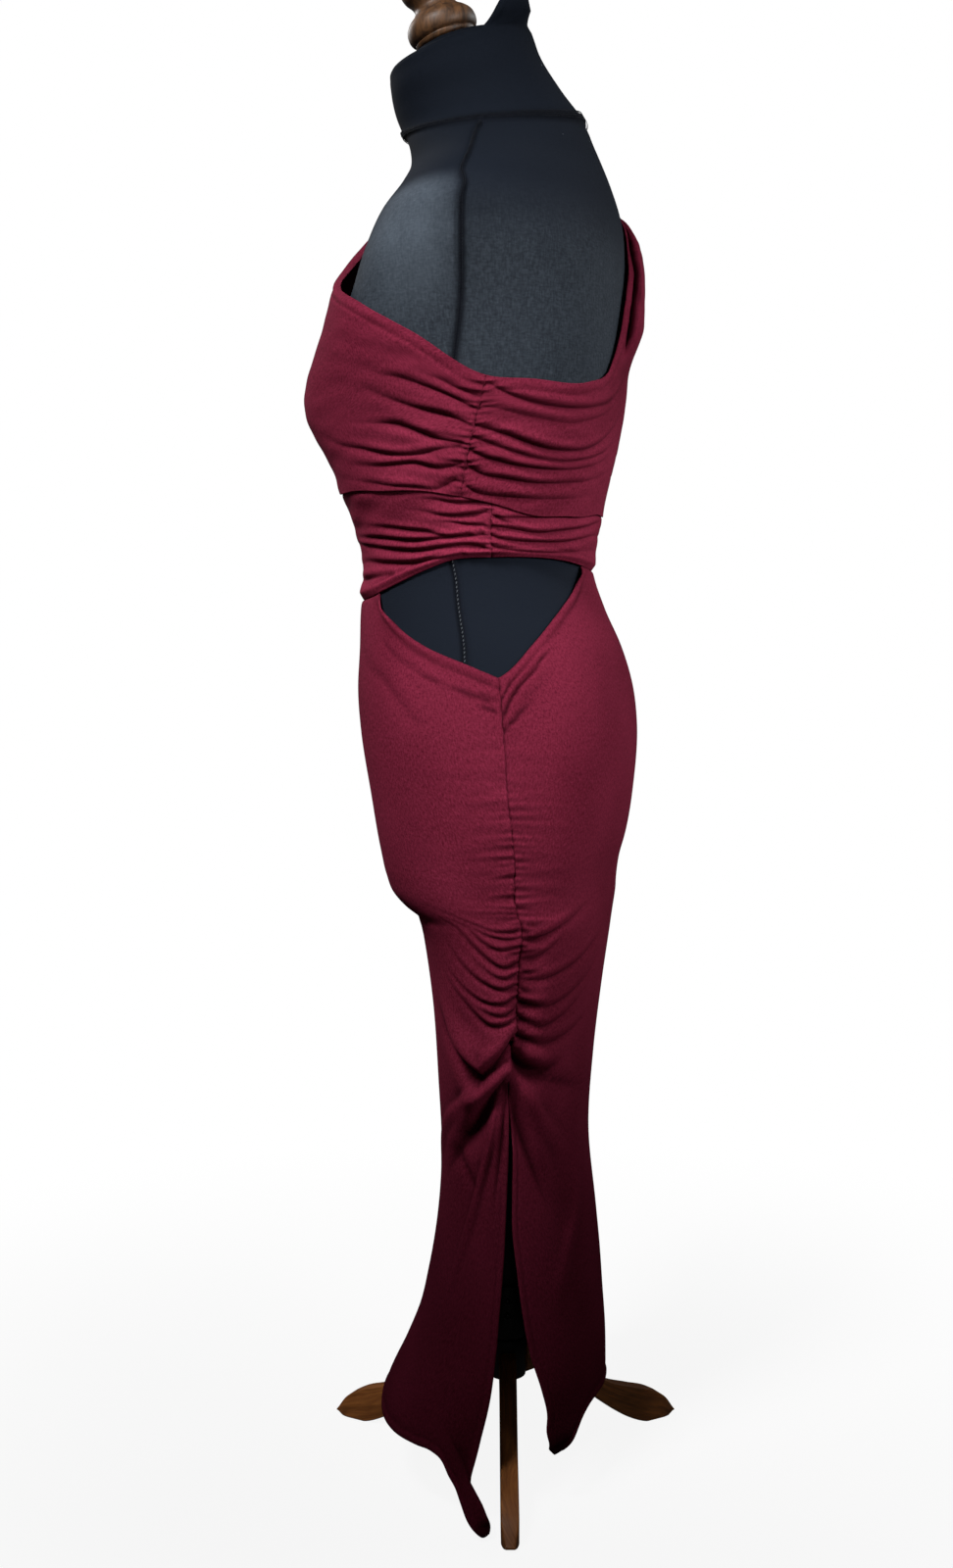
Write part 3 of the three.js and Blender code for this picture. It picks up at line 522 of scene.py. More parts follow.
def bodicePlace(side):
    direction = 1 if side == "front" else -1
    low, high = (heightOf(edge, rightSeam["front"]) for edge in (underBust, neckline))
    middle = (bodice["armLow"] + bodice["armHigh"]) / 2
    reach = (bodice["armHigh"] - bodice["armLow"]) / 2
    depth = bodice["armFront" if side == "front" else "armBack"]

    def place(u, v):
        part = np.clip(np.abs(between(low, high, v) - middle) / reach, 0, 1)
        arm = rightSeam[side] + direction * (depth * (1 - part ** 2.4) ** 0.7 + halfGap)
        seam = seamTurns["bodice"] + seamTurns["bodiceRake"] * v - direction * halfGap
        seam = seam + 0.35 * seamWander(bodice["seamFoot"] + 90 * v) * ease(8 * v) * ease(8 - 8 * v)
        turn = between(arm, seam, u if side == "front" else 1 - u)
        return turn, between(heightOf(underBust, turn), heightOf(neckline, turn), v)
    return place


# The back strap hangs in a full outer fold that leans over a hollow and a thinner fold at its edge.
strapRoll = table("away low top over", [
    (0, 1.5, 0, 0), (4, 4, 0.5, 0), (8, 4, 1, 0), (12, 4, 2, -3), (16, 8.5, 6, 15), (20, 13, 11, 25),
    (26, 16.5, 15.5, 27), (33, 17, 16.5, 22), (44, 11, 12, 11), (60, 4, 5, 2), (85, 0, 0, 0),
])


# How far a place is from the neckline's edge, square to it.
def insideNeckline(turn, z):
    slope = (heightOf(neckline, turn + 0.5) - heightOf(neckline, turn - 0.5)) / neckDegree
    return (heightOf(neckline, turn) - z) / np.sqrt(1 + slope ** 2)


# Where the bodice bridges instead of following the form: between the breasts, at the loose
# neckline, and in the two hanging folds of the back strap.
def bodiceBridge(side, turn, z):
    away = insideNeckline(turn, z)
    if side == "front":
        turned = 1 - 0.6 * bell(turn + 4, 44) * (1 - ease(away / 6))
        point = formPoint(turn, z)
        hollow = 13 * bell(point[..., 0], 34) * bell(z - 972, 52)
        return (hollow + 18 * bell(turn, 50) * bell(heightOf(neckline, turn) - z, 56)) * turned
    high, low = ease((z - 1000) / 55) * ease((1188 - z) / 42), ease((1128 - z) / 30)
    return high * between(read(strapRoll, "away", away, "top"), read(strapRoll, "away", away, "low"), low)


def makeBodice(side):
    creases = bodiceCreases[side]
    far = rightSeam[side]
    low = [crease for crease in creases if crease[3][0][1] < 955]
    creases = creases + strapCreases[side]
    creases = creases + mirrored(low, seamTurns["bodice"], far, 11 if side == "front" else 12)

    def lift(turn, z, v):
        seam = seamTurns["bodice"] + seamTurns["bodiceRake"] * v
        aside = np.abs(turn - seam) * torsoDegree
        hidden = np.abs(turn - far) * torsoDegree
        below, under = insideNeckline(turn, z), z - heightOf(underBust, turn)
        gathered = np.clip(ease(1.15 - aside / 200) + ease(1.1 - hidden / 120) * ease((1030 - z) / 30), 0, 1)
        free = ease(below / 11)
        relief = bodice["swell"] * gathered * (0.25 + 0.75 * free)
        relief += creaseRelief(turn, z, creases) * free * ease(0.3 + under / 6)
        relief += puckers(aside, z, bodicePuckers, 21) + puckers(hidden, z, bodicePuckers, 22) * (z < 1005)
        relief += unevenness(turn, z, 23) * gathered
        # the gathered bodice blouses over its lower seam
        relief += (0.6 + unevenness(turn * 1.5, 0 * z + 900, 24) * 2) * bell(under - 4, 5) * gathered
        relief += (0.5 + 1.8 * (1 - gathered)) * np.exp(-under / 10)
        relief = np.maximum(relief, -0.9) + seamDip(aside) + seamDip(hidden) * (z < 1010)
        return hug + relief + bodiceBridge(side, turn, z) + edgeRoll(below)

    def slide(turn, z):  # the blouse sags over the band's edge
        under = z - heightOf(underBust, turn)
        drop = (2.4 + unevenness(turn * 1.2, 0 * z + 900, 24) * 2) * np.exp(-under / 9)
        over = 0 * z
        if side == "back":
            over = read(strapRoll, "away", insideNeckline(turn, z), "over") * ease((z - 1015) / 40)
            over = over * ease((1188 - z) / 42)
        return np.stack([over, 0 * z, -drop], -1)

    # painted shade: for light that falls off over the bust, in the strap's hollow and over the back strap
    def shade(turn, z):  # stands in for light that falls off over the bust, and darkens the strap's hollow
        whole = bodice["dim"] + bodice["dimHigh"] * ease((z - 930) / 60)
        if side == "front":
            return whole
        away, low = insideNeckline(turn, z), ease((1128 - z) / 30)
        high = ease(away / 2) * ease((17 - away) / 3)
        inside = between(high, ease((away - 8) / 3) * ease((19 - away) / 3), low)
        strap = 0.4 * ease((z - 1040) / 60) * ease((70 - away) / 30)
        return np.maximum(whole, np.maximum(inside * ease((z - 1010) / 40), strap))

    across = packed(bodice["columns"], 2.2, 4.5, 0.05)
    if side == "back":
        across = 1 - across[::-1]
    along = packed(bodice["rows"], 2.5, 3.0, 0.03)
    place = bodicePlace(side)
    return clothPanel(f"bodice_{side}_jersey", formPoint, place, lift, across, along, slide, shade)


bodicePieces = {side: makeBodice(side) for side in ("front", "back")}
print("bodice made")

# The midriff band, gathered along the left side seam too.
band = {"columns": 190, "rows": 84, "swell": 3.0}
bandCreases = {
    "front": [
        (2.0, -2.9, 0.3, [(106.5, 895), (103, 895), (94.5, 894), (86, 897), (76, 899)]),
        (1.9, -2.7, 0.3, [(106.5, 887), (102.5, 885), (95, 883), (88, 884), (80, 888), (70, 890)]),
        (1.7, -2.1, 0.3, [(106, 876), (99, 876), (91.5, 878), (82, 879)]),
        (1.9, -2.7, 0.55, [(100, 868), (91, 866), (81.5, 870), (72, 872), (58.5, 875), (41, 878)]),
        (1.9, -3.4, 0.5, [(105.5, 868), (96, 866), (85, 864), (74, 863), (60.5, 865), (35.5, 867),
                          (10, 866)]),
        (2.0, -3.5, 0.45, [(105.5, 857), (98, 859), (87.5, 857), (76.5, 854), (65, 855), (48, 858),
                           (26, 862), (0, 860)]),
        (2.2, -3.0, 0.5, [(96.5, 851), (90, 848), (81.5, 846), (72.5, 843), (58, 843),
                          (36.5, 845), (10, 840)]),
        (2.5, -2.4, 0.5, [(60, 833), (46, 830), (30, 828), (10, 828)]),
    ],
    "back": [
        (1.9, -2.4, 0.2, [(109, 885), (113, 881), (117, 878), (124, 876)]),
        (2.0, -3.5, 0.4, [(109.5, 875), (119, 872), (130.5, 869), (144.5, 871), (163, 875),
                          (181, 881), (200, 884)]),
        (1.9, -2.6, 0.5, [(111, 883), (119, 882), (130, 882), (147, 883), (172, 886), (195, 884)]),
        (2.0, -3.2, 0.4, [(109, 867), (116, 863), (131, 861), (149.5, 862), (177.5, 869), (200, 868)]),
        (2.0, -2.9, 0.4, [(108.5, 858), (118.5, 854), (131, 852), (146, 852), (164, 854), (190, 856)]),
    ],
}
bandPuckers = [(852, 893, 4.6, 1.8, 9, 0.05), (855, 892, 7.4, 1.2, 26, 0.02)]


def makeBand(side):
    front = side == "front"
    seam, far = seamTurns["band"], rightSeam[side]
    ends = (far + halfGap, seam - halfGap) if front else (seam + halfGap, far - halfGap)
    creases = bandCreases[side] + mirrored(bandCreases[side][:5], seam, far, 31 if front else 32)

    def place(u, v):
        sway = 0.35 * seamWander(850 + 44 * v) * ease(6 * v) * ease(6 - 6 * v)
        atSeam = (u if front else 1 - u) > 0.5
        turn = between(ends[0], ends[1], u) + sway * atSeam * ease(2 * np.abs(u - 0.5))
        return turn, between(heightOf(bandFoot, turn), heightOf(underBust, turn) - jersey["seamGap"], v)

    def lift(turn, z, v):
        aside, hidden = np.abs(turn - seam) * torsoDegree, np.abs(turn - far) * torsoDegree
        free = alongCut(turn, 44, 173)
        foot, top = z - heightOf(bandFoot, turn), heightOf(underBust, turn) - z
        inside = ease(foot / 6) * ease(0.35 + top / 9)
        relief = (band["swell"] + creaseRelief(turn, z, creases) + unevenness(turn, z, 43)) * inside
        relief += (puckers(aside, z, bandPuckers, 41) + puckers(hidden, z, bandPuckers, 42)) * inside
        relief = np.maximum(relief, -0.9) + seamDip(aside) + seamDip(hidden) - 1.3 * np.exp(-top / 3.5)
        return hug + relief + free * edgeRoll(foot) + (1 - free) * seamDip(foot)

    across = packed(band["columns"], 3.0, 4.5, 0.05) if front else packed(band["columns"], 4.5, 3.0, 0.05)
    return clothPanel(f"band_{side}_jersey", formPoint, place, lift, across, packed(band["rows"], 2, 2, 0.06))


bandPieces = {side: makeBand(side) for side in ("front", "back")}
print("band made")

# The skirt, drawn up in swags to its left seam, with a slit below them.
# dim and dimHips set the painted shade low on each side and over the hips' top
skirt = {"columns": 146, "slitRows": 88, "swagRows": 98, "hipRows": 112, "swagShare": 0.38,
         "dim": {"front": 0.62, "back": 0.36}, "dimHips": 0.3}
skirtCreases = {
    "front": [
        (1.6, -1.3, 0.2, [(109, 539), (104, 535), (93.5, 536), (83.5, 544), (73, 552), (62, 556)]),
        (1.4, -1.8, 0.3, [(109, 531), (102, 529), (92, 532), (82, 541), (72, 549)]),
        (1.6, -1.5, 0.2, [(109, 523), (99, 519), (90.5, 525), (84.5, 534), (76, 545), (68, 549)]),
        (2.0, -2.6, 0.15, [(109, 508), (101, 504), (94, 509), (84, 523), (73.5, 542), (67, 547)]),
        (1.6, -2.0, 0.1, [(109, 499), (102, 495), (95, 498), (86, 510), (78, 524)]),
        (2.0, -2.8, 0.12, [(109, 489), (100, 485), (91, 490), (79.5, 503), (70, 522), (66, 540)]),
        (1.8, -3.0, 0.12, [(109, 477), (99, 472), (90, 474), (80, 483), (66, 503), (60, 530)]),
        (1.8, -2.4, 0.12, [(109, 467), (102, 462), (94, 463), (84, 471), (74, 484)]),
        (2.4, -3.2, 0.25, [(109, 458), (100, 453), (93, 453), (86.5, 460), (78, 472), (67, 489),
                           (58, 516)]),
        (5.5, -13, 0.5, [(108, 436), (98.5, 420), (91.5, 409), (86, 405), (72.5, 419), (60, 438),
                         (50, 470)]),
        (12, 6, 0.5, [(107, 448), (98, 436), (88, 430), (76, 438), (62, 458), (52, 486)]),
        (8, 9, 0.2, [(106, 415), (97, 407), (87.5, 396), (71.5, 378), (52, 355), (34, 322), (20, 290)]),
        (7, -13, 0.4, [(102.5, 401), (96.5, 389), (90, 376), (82.5, 361), (73.5, 348), (60, 326),
                       (46, 300)]),
        (5, 5, 0.35, [(103.5, 402), (99, 389), (96, 372), (93, 345), (86, 309), (79.5, 281), (71, 249),
                      (62, 210), (52, 150)]),
        (4, -3.2, 0.4, [(105.5, 392), (103, 362), (100, 319), (95, 275)]),
        (5, -2.2, 0.4, [(61, 335), (72, 328), (81, 313), (84, 302)]),
        (1.6, -1.4, 0.5, [(102, 732), (98, 733), (90, 736), (82, 742), (74, 753), (64.5, 764),
                          (54, 779), (46, 790)]),
        (2.2, -2.2, 0.2, [(103, 727), (96, 731), (90, 735), (85, 742)]),
        (2.0, -2.0, 0.3, [(103, 719), (96.5, 723), (93, 727)]),
        (5, -1.0, 0.4, [(72.5, 712), (65.5, 729), (57.5, 745), (41.5, 763), (30, 785)]),
    ],
    "back": [
        (3.0, -2.4, 0.3, [(110.5, 533), (117.5, 529), (131.5, 536), (149, 548), (160, 556)]),
        (2.4, -3.6, 0.3, [(110.5, 528), (115, 526), (121, 528)]),
        (2.2, -1.6, 0.25, [(110.5, 511), (117.5, 511), (125.5, 520), (134.5, 531), (144, 542)]),
        (3.2, -2.2, 0.4, [(110.5, 493), (118, 491), (130, 494), (148, 502), (162.5, 512), (176, 520)]),
        (1.8, -2.4, 0.2, [(110.5, 499), (116, 498), (122, 500)]),
        (3.0, -4.8, 0.3, [(110.5, 473), (115, 469), (121, 467), (128, 468)]),
        (3.4, -2.0, 0.4, [(113, 470), (121, 467), (129.5, 466), (143, 472), (159.5, 484), (172, 500)]),
        (2.0, -2.6, 0.2, [(110.5, 484), (115, 481), (121, 481)]),
        (3.0, -2.0, 0.3, [(111, 456), (120, 450), (127, 448), (138.5, 453), (152, 465), (167.5, 480)]),
        (2.2, -2.8, 0.25, [(110.5, 459), (115, 455), (121, 452)]),
        (3.0, -5.4, 0.25, [(110, 443), (115, 438), (121, 435), (129, 433)]),
        (4.0, -2.2, 0.4, [(113, 440), (125, 432), (139.5, 431), (156.5, 438), (170, 452)]),
        (6, -10, 0.3, [(109, 428), (114, 417), (120, 409), (128, 405), (138, 408), (148, 418)]),
        (9, 5.5, 0.3, [(109, 412), (117, 390), (128.5, 364), (145.5, 333), (165, 298)]),
        (8, -6, 0.4, [(108, 394), (113, 369), (120.5, 340), (129.5, 302), (138, 262)]),
        (12, 3.0, 0.45, [(165, 300), (160, 265), (148.5, 237), (140, 207), (134.5, 177)]),
        (8, -2.6, 0.3, [(113, 412), (134, 397), (156.5, 381), (181, 360)]),
        (7.0, 2.4, 0.4, [(104, 712), (107, 727), (111, 739), (117, 752), (125, 767), (137, 783)]),
        (1.6, -5.2, 0.4, [(104.5, 716), (107, 728), (110, 737.5), (115, 748), (119.5, 757),
                          (126, 768.5), (138, 784)]),
        (1.4, -2.6, 0.3, [(104, 728), (106, 736), (108.5, 743), (112.5, 750)]),
        (1.6, -2.2, 0.3, [(104.5, 704), (108, 713), (112.5, 722), (118, 731)]),
    ],
}
skirtPuckers = [
    (640, 742, 7.0, 0.9, 9, -0.1), (560, 655, 6.2, 2.2, 18, -0.1), (520, 562, 5.6, 2.6, 22, -0.06),
    (550, 690, 10, 0.9, 42, -0.06), (425, 530, 5.0, 2.4, 10, 0.0),
]
hungFolds = table("top foot start end width height", [  # from the slit's top and the right seam to the hem
    (378, 150, 101, 62, 9, 2), (372, 130, 122, 150, 9, 2),
    (360, 60, -84, -48, 10, 6), (360, 60, 264, 228, 10, 6),
])
slitCorner = {"turn": 103, "wide": 14, "high": 90, "out": 22}
turnedTips = {  # the hem's two corners curl under: the turn, height and reach where each starts, and how far
    "front": (98.5, 5, 22, 12, 5), "back": (150, -8, 70, 20, 8),
}


def skirtPlace(side):
    front = side == "front"
    right = rightSeam[side] + (halfGap if front else -halfGap)

    def place(u, v):  # v runs from -1 at the hem through 0 at the slit's top to 1
        def height(turn):
            foot = between(heightOf(hem, turn, side), slitTop, np.clip(1 + v, 0, 1))
            return foot + (skirtTop(turn) - slitTop) * np.clip(v, 0, 1)
        edge = np.full_like(u, seamTurns["skirt"])
        for _ in range(6):
            edge = read(seamLine, "z", height(edge), side)
        z = height(edge)
        edge = edge + 0.45 * seamWander(z) * bell(np.clip(z - 480, -200, 300), 62) * (v > 0)
        edge = edge + (-halfGap if front else halfGap)
        turn = between(right, edge, u if front else 1 - u)
        return turn, height(turn)
    return place


def skirtSwell(turn, z, far):  # the broad roundness of the gathered cloth, and the slit's corner
    relief = np.zeros_like(z)
    for seam, full in ((seamTurns["swags"], 1.0), (far, 0.9)):
        away = np.abs(turn - seam)
        drawnIn = 0.3 + 0.7 * ease(away / 13)
        relief += full * 6 * drawnIn * ease(1.15 - away / 62) * bell(z - 478 - 0.45 * away, 46)
        upright = z - 432
        relief -= 8 * bell(away, 8) * bell(upright, np.where(upright > 0, 60, 46))
    kick = slitCorner["out"] * bell(turn - slitCorner["turn"], slitCorner["wide"])
    relief += kick * ease(1 - z / slitCorner["high"])
    for top, foot, start, end, width, height in zip(*hungFolds.values()):
        part = np.clip((top - z) / (top - foot), 0, 2)
        fade = ease(part * 5) * ease((1.25 - part) * 2)
        relief += height * bell(turn - between(start, end, part ** 1.3), width) * fade
    return relief


def makeSkirt(side):
    front = side == "front"
    far = rightSeam[side]
    hidden = [crease for crease in skirtCreases[side] if 425 < crease[3][0][1] < 560 and -5 < crease[1] < 0]
    creases = skirtCreases[side] + mirrored(hidden, seamTurns["swagFolds"], far, 51 if front else 52)

    def cornerCurl(turn, z):
        start, wide, high, tall, _ = turnedTips[side]
        return ease((turn - start) / wide) * ease((high - z) / tall)

    # painted shade: for light that falls off low on the skirt and over the hips' top, and on the hem's
    # curled-under corners
    def shade(turn, z):  # stands in for light that falls off low on the skirt and across the hips
        sideways = (turn + 70) if front else (260 - turn)
        low = skirt["dim"][side] * ease((450 - z) / 240) * ease(sideways / 90)
        return np.maximum(cornerCurl(turn, z), low + skirt["dimHips"] * ease((z - 630) / 130))

    def lift(turn, z, v):
        edge = read(seamLine, "z", z, side)
        aside, right = np.abs(turn - edge) * degreeWide, np.abs(turn - far) * degreeWide
        sewn = ease((z - slitTop + 2) / 4)
        top = skirtTop(turn) - z
        free = alongCut(turn, 46, 171)
        relief = skirtSwell(turn, z, far) + creaseRelief(turn, z, creases)
        onForm = ease((z - 536) / 8)
        relief += puckers(aside, z, skirtPuckers, 61 if front else 62) * sewn * ease(top / 6)
        relief += puckers(right, z, skirtPuckers, 63 if front else 64)
        relief = np.where(onForm > 0, np.maximum(relief, between(-40, -0.8, onForm)), relief)
        seamed = sewn * seamDip(aside) * (1 + 1.6 * bell(z - 478, 62))
        relief += seamed + (1 - sewn) * 0.5 * edgeRoll(aside) + seamDip(right)
        relief += 0.8 * edgeRoll(z - heightOf(hem, turn, side))
        relief -= turnedTips[side][4] * cornerCurl(turn, z)
        gape = 5 * bell(turn - 57, 4) * bell(top, 9) if front else 3 * bell(turn - 162, 4) * bell(top, 8)
        return relief + free * (edgeRoll(top) + gape) + (1 - free) * seamDip(top)

    across = packed(skirt["columns"], 2.0, 5.0, 0.06)
    if side == "back":
        across = 1 - across[::-1]
    along = np.concatenate([
        packed(skirt["slitRows"], 2.5, 1.6, 0.03)[:-1] - 1,
        np.linspace(0, skirt["swagShare"], skirt["swagRows"], endpoint=False),
        between(skirt["swagShare"], 1, packed(skirt["hipRows"], 1, 3.0, 0.04, [(0.1, 0.42, 3.2)])),
    ])
    place = skirtPlace(side)
    return clothPanel(f"skirt_{side}_jersey", skirtPoint, place, lift, across, along, shade=shade)


skirtPieces = {side: makeSkirt(side) for side in ("front", "back")}
print("skirt made")

# Polyester stretch cover, brushed smooth: charcoal with a blue cast, paler where rubbing has thinned it
# and where a painted highlight falls on the left shoulder; darker at the neck, and in painted shade low down.
coverLook = {
    "colour": "#0e1116", "rubbedAndLit": "#40474f", "capped": "#11151c", "seam": "#0a0c11", "lint": "#6a6f76",
    "thread": 1.7, "lintScale": 42.0, "lintSize": 0.022, "roughness": 0.92, "gloss": 0.03,
    "neck": (1.08, 1.165), "waist": (0.88, 0.86),  # in metres: between which heights each sets in
    # the pale patch is partly wear and partly a painted highlight
    "shoulder": (0.16, -0.055, 1.128), "patchReach": (0.085, 0.02),  # the rubbed patch's middle and reach
    "patchBack": (0.056, 0.04), "patchTop": (1.164, 1.144),
}


def makeCoverMaterial():
    look = coverLook
    material, tree = newMaterial("charcoal stretch cover")
    place = addNode(tree, "ShaderNodeTexCoord").outputs["Object"]
    threads = []
    for stretched in ((1, 1, 0.3), (0.35, 0.35, 1)):  # upright and level
        lie = addNode(tree, "ShaderNodeMapping", Vector=place, Scale=stretched)
        threads.append(addNode(tree, "ShaderNodeTexNoise", Vector=lie.outputs[0],
                               Scale=1 / (look["thread"] * mm), Detail=2.0).outputs["Fac"])
    weave = addNode(tree, "ShaderNodeMath", {"operation": "MULTIPLY"}, _0=threads[0], _1=threads[1])
    cloud = addNode(tree, "ShaderNodeTexNoise", Vector=place, Scale=18.0, Detail=5.0, Roughness=0.62)
    faded = addNode(tree, "ShaderNodeMath", {"operation": "MULTIPLY"}, _0=cloud.outputs["Fac"], _1=0.16)
    grainy = addNode(tree, "ShaderNodeMath", {"operation": "MULTIPLY_ADD"},
                     _0=weave.outputs[0], _1=0.85, _2=faded.outputs[0])
    # darker at the neck, and painted shade low down, where the cover shows in the dress's cut-out
    height = addNode(tree, "ShaderNodeSeparateXYZ", Vector=place).outputs["Z"]
    neck = addNode(tree, "ShaderNodeMapRange", {"interpolation_type": "SMOOTHSTEP"}, Value=height,
                   From_Min=look["neck"][0], From_Max=look["neck"][1])
    waist = addNode(tree, "ShaderNodeMapRange", Value=height,
                    From_Min=look["waist"][0], From_Max=look["waist"][1])
    ends = addNode(tree, "ShaderNodeMath", {"operation": "MAXIMUM"}, _0=neck.outputs[0], _1=waist.outputs[0])
    # the left shoulder is paler in front of its side seam: partly where rubbing has thinned it, partly a
    # painted highlight
    shoulder = list(np.array(look["shoulder"]) + poleAxis)
    offset = addNode(tree, "ShaderNodeVectorMath", {"operation": "SUBTRACT"}, _0=place, _1=shoulder)
    longer = addNode(tree, "ShaderNodeVectorMath", {"operation": "MULTIPLY"},
                     _0=offset.outputs[0], _1=(1, 1.1, 0.85))
    away = addNode(tree, "ShaderNodeVectorMath", {"operation": "LENGTH"}, _0=longer.outputs[0])
    aside = addNode(tree, "ShaderNodeSeparateXYZ", Vector=offset.outputs[0])
    patch = 1.0
    edges = {"patchBack": aside.outputs["Y"], "patchTop": height, "patchReach": away.outputs["Value"]}
    for edge, value in edges.items():
        inside = addNode(tree, "ShaderNodeMapRange", {"interpolation_type": "SMOOTHSTEP"}, Value=value,
                         From_Min=look[edge][0], From_Max=look[edge][1])
        patch = addNode(tree, "ShaderNodeMath", {"operation": "MULTIPLY"},
                        _0=patch, _1=inside.outputs[0]).outputs[0]
    thin = addNode(tree, "ShaderNodeMath", {"operation": "MULTIPLY_ADD"},
                   _0=cloud.outputs["Fac"], _1=0.9, _2=weave.outputs[0])
    wornAndLit = addNode(tree, "ShaderNodeMath", {"operation": "MULTIPLY"}, _0=patch, _1=thin.outputs[0])
    welt = addNode(tree, "ShaderNodeAttribute", {"attribute_name": "welt"})
    # lint: a scatter of pale specks about 1 mm across
    lint = addNode(tree, "ShaderNodeTexVoronoi", Vector=place, Scale=look["lintScale"])
    speck = addNode(tree, "ShaderNodeMath", {"operation": "LESS_THAN"},
                    _0=lint.outputs["Distance"], _1=look["lintSize"])
    tone = linear(look["colour"])
    layers = [
        (grainy.outputs[0], "rubbedAndLit"), (ends.outputs[0], "capped"), (wornAndLit.outputs[0], "rubbedAndLit"),
        (welt.outputs["Fac"], "seam"), (speck.outputs[0], "lint"),
    ]
    for part, colour in layers:
        tone = addNode(tree, "ShaderNodeMix", {"data_type": "RGBA"}, Factor=part,
                       _6=tone, _7=linear(look[colour])).outputs[2]
    bump = addNode(tree, "ShaderNodeBump", Strength=0.5, Distance=0.0006, Height=weave.outputs[0])
    shader = addNode(tree, "ShaderNodeBsdfPrincipled", Base_Color=tone, Roughness=look["roughness"],
                     Specular_IOR_Level=look["gloss"], Normal=bump.outputs["Normal"])
    addNode(tree, "ShaderNodeOutputMaterial", Surface=shader.outputs[0])
    return material


coverMaterial = makeCoverMaterial()
cover = {"columns": 236, "seamHigh": 2.6, "seamWide": 2.3, "ringHigh": 2.2, "ringWide": 2.9,
         "tuckFrom": 112, "tuckTo": 212, "tuckHigh": 31, "tuckFoot": 1293.5}
sideSeamPath = table("z turn", [  # the cover's left seam; the right one mirrors it
    (529, 92), (753, 92), (791, 93), (823, 92.5), (848, 91), (930, 92), (1013, 93), (1037, 93.5),
    (1068, 93.5), (1106, 92.5), (1135, 91.5), (1148, 91.5), (1157, 88.5), (1177, 88), (1192, 86.5),
    (1204, 88), (1211, 90), (1218, 90), (1307, 91),
])
coverDegree = 2.1  # mm of the cover to a degree, beside its side seams
neckRing = table("turn z", [
    (0, 1227), (10, 1226), (45, 1219), (70, 1217), (90, 1218), (106, 1219), (122, 1221), (140, 1223),
    (170, 1227), (180, 1228),
])


def ringHeight(turn):
    return read(neckRing, "turn", 180 - np.abs((turn % 360) - 180), "z")


def makeCover():
    shares = packed(cover["columns"], close=[(0.25, 0.018, 7), (0.75, 0.018, 7)])[:-1]
    heights = np.concatenate([
        [529, 529.6, 530.3, 531.2], np.linspace(532.5, 560, 14), np.linspace(566, 890, 55)[:-1],
        np.linspace(890, 1206, 90)[:-1], np.linspace(1206, 1234, 40)[:-1], np.linspace(1234, 1290, 18)[:-1],
        np.linspace(1290, 1303.4, 22),
    ])
    turn, z = np.meshgrid(shares * 360, heights)
    signed = np.where(turn > 180, 360 - turn, turn)
    seamAway = (signed - read(sideSeamPath, "z", z, "turn")) * coverDegree
    ringAway = z - ringHeight(turn)
    pucker = 1 + 0.2 * np.sin(z * 1.1) * np.sin(z * 0.37)
    below = ease((1216 - z) / 6) * between(0.55, 1, ease((z - 1020) / 90))
    welt = bell(seamAway, cover["seamWide"])
    ditch = bell(np.abs(seamAway) - 4.2, 1.4)
    lift = cover["seamHigh"] * below * (welt * pucker - 0.3 * ditch)
    ripple = 1 + 0.16 * np.sin(np.radians(turn) * 53)
    ring = bell(ringAway, cover["ringWide"])
    lift += cover["ringHigh"] * ring * ripple
    lift -= 0.6 * bell(ringAway + 5, 3)
    point = formPoint(turn, z) + outward(formPoint, turn, z) * lift[..., None]
    rows, columns = turn.shape
    at = np.arange((rows - 1) * columns).reshape(rows - 1, columns)
    following = np.roll(at, -1, axis=1)
    quads = np.stack([at, following, following + columns, at + columns], -1).reshape(-1, 4).tolist()
    # the loose top of the cover stands up behind the neck in a tuck
    around = turn[0]
    tuck = cover["tuckHigh"] * ease((around - cover["tuckFrom"]) / 28) * ease((cover["tuckTo"] - around) / 30)
    tuck *= 1 + 0.08 * np.sin(around * 0.35)
    lean = between(0.12, -0.55, ease((turn - 160) / 26))
    raised = tuck * bell(z - cover["tuckFoot"], 1.7)
    point += np.stack([0 * turn, lean * raised, raised], -1)
    folded = 5 * bell(raised - 16, 7) - 2.5 * bell(raised - 5, 4)
    folded = folded * (z < cover["tuckFoot"]) * ease(tuck / 12)
    point += np.array([0.5, 0.8, 0.0]) * folded[..., None]
    points = [*point.reshape(-1, 3)]
    for row, flip in ((0, True), (rows - 1, False)):  # close both ends with shrinking rings and a pole
        ring = list(range(row * columns, (row + 1) * columns))
        middle = point[row].mean(0)
        for size in (0.8, 0.55, 0.3, 0.12):
            first = len(points)
            points += [*(middle + (point[row] - middle) * size)]
            fresh = list(range(first, first + columns))
            for k in range(columns):
                quad = [ring[k], ring[(k + 1) % columns], fresh[(k + 1) % columns], fresh[k]]
                quads.append(quad[::-1] if flip else quad)
            ring = fresh
        points.append(middle)
        for k in range(columns):
            fan = [ring[k], ring[(k + 1) % columns], len(points) - 1]
            quads.append(fan[::-1] if flip else fan)
    piece = meshPiece("form_cover", np.array(points), quads, coverMaterial)
    dark = np.zeros(len(points))
    dark[:turn.size] = np.maximum(bell(seamAway, 3.4) * ease((1218 - z) / 6), bell(ringAway, 4.6)).ravel()
    piece.data.attributes.new("welt", "FLOAT", "POINT").data.foreach_set("value", dark)
    print("form cover has", len(quads), "faces")
    return piece


formPiece = makeCover()

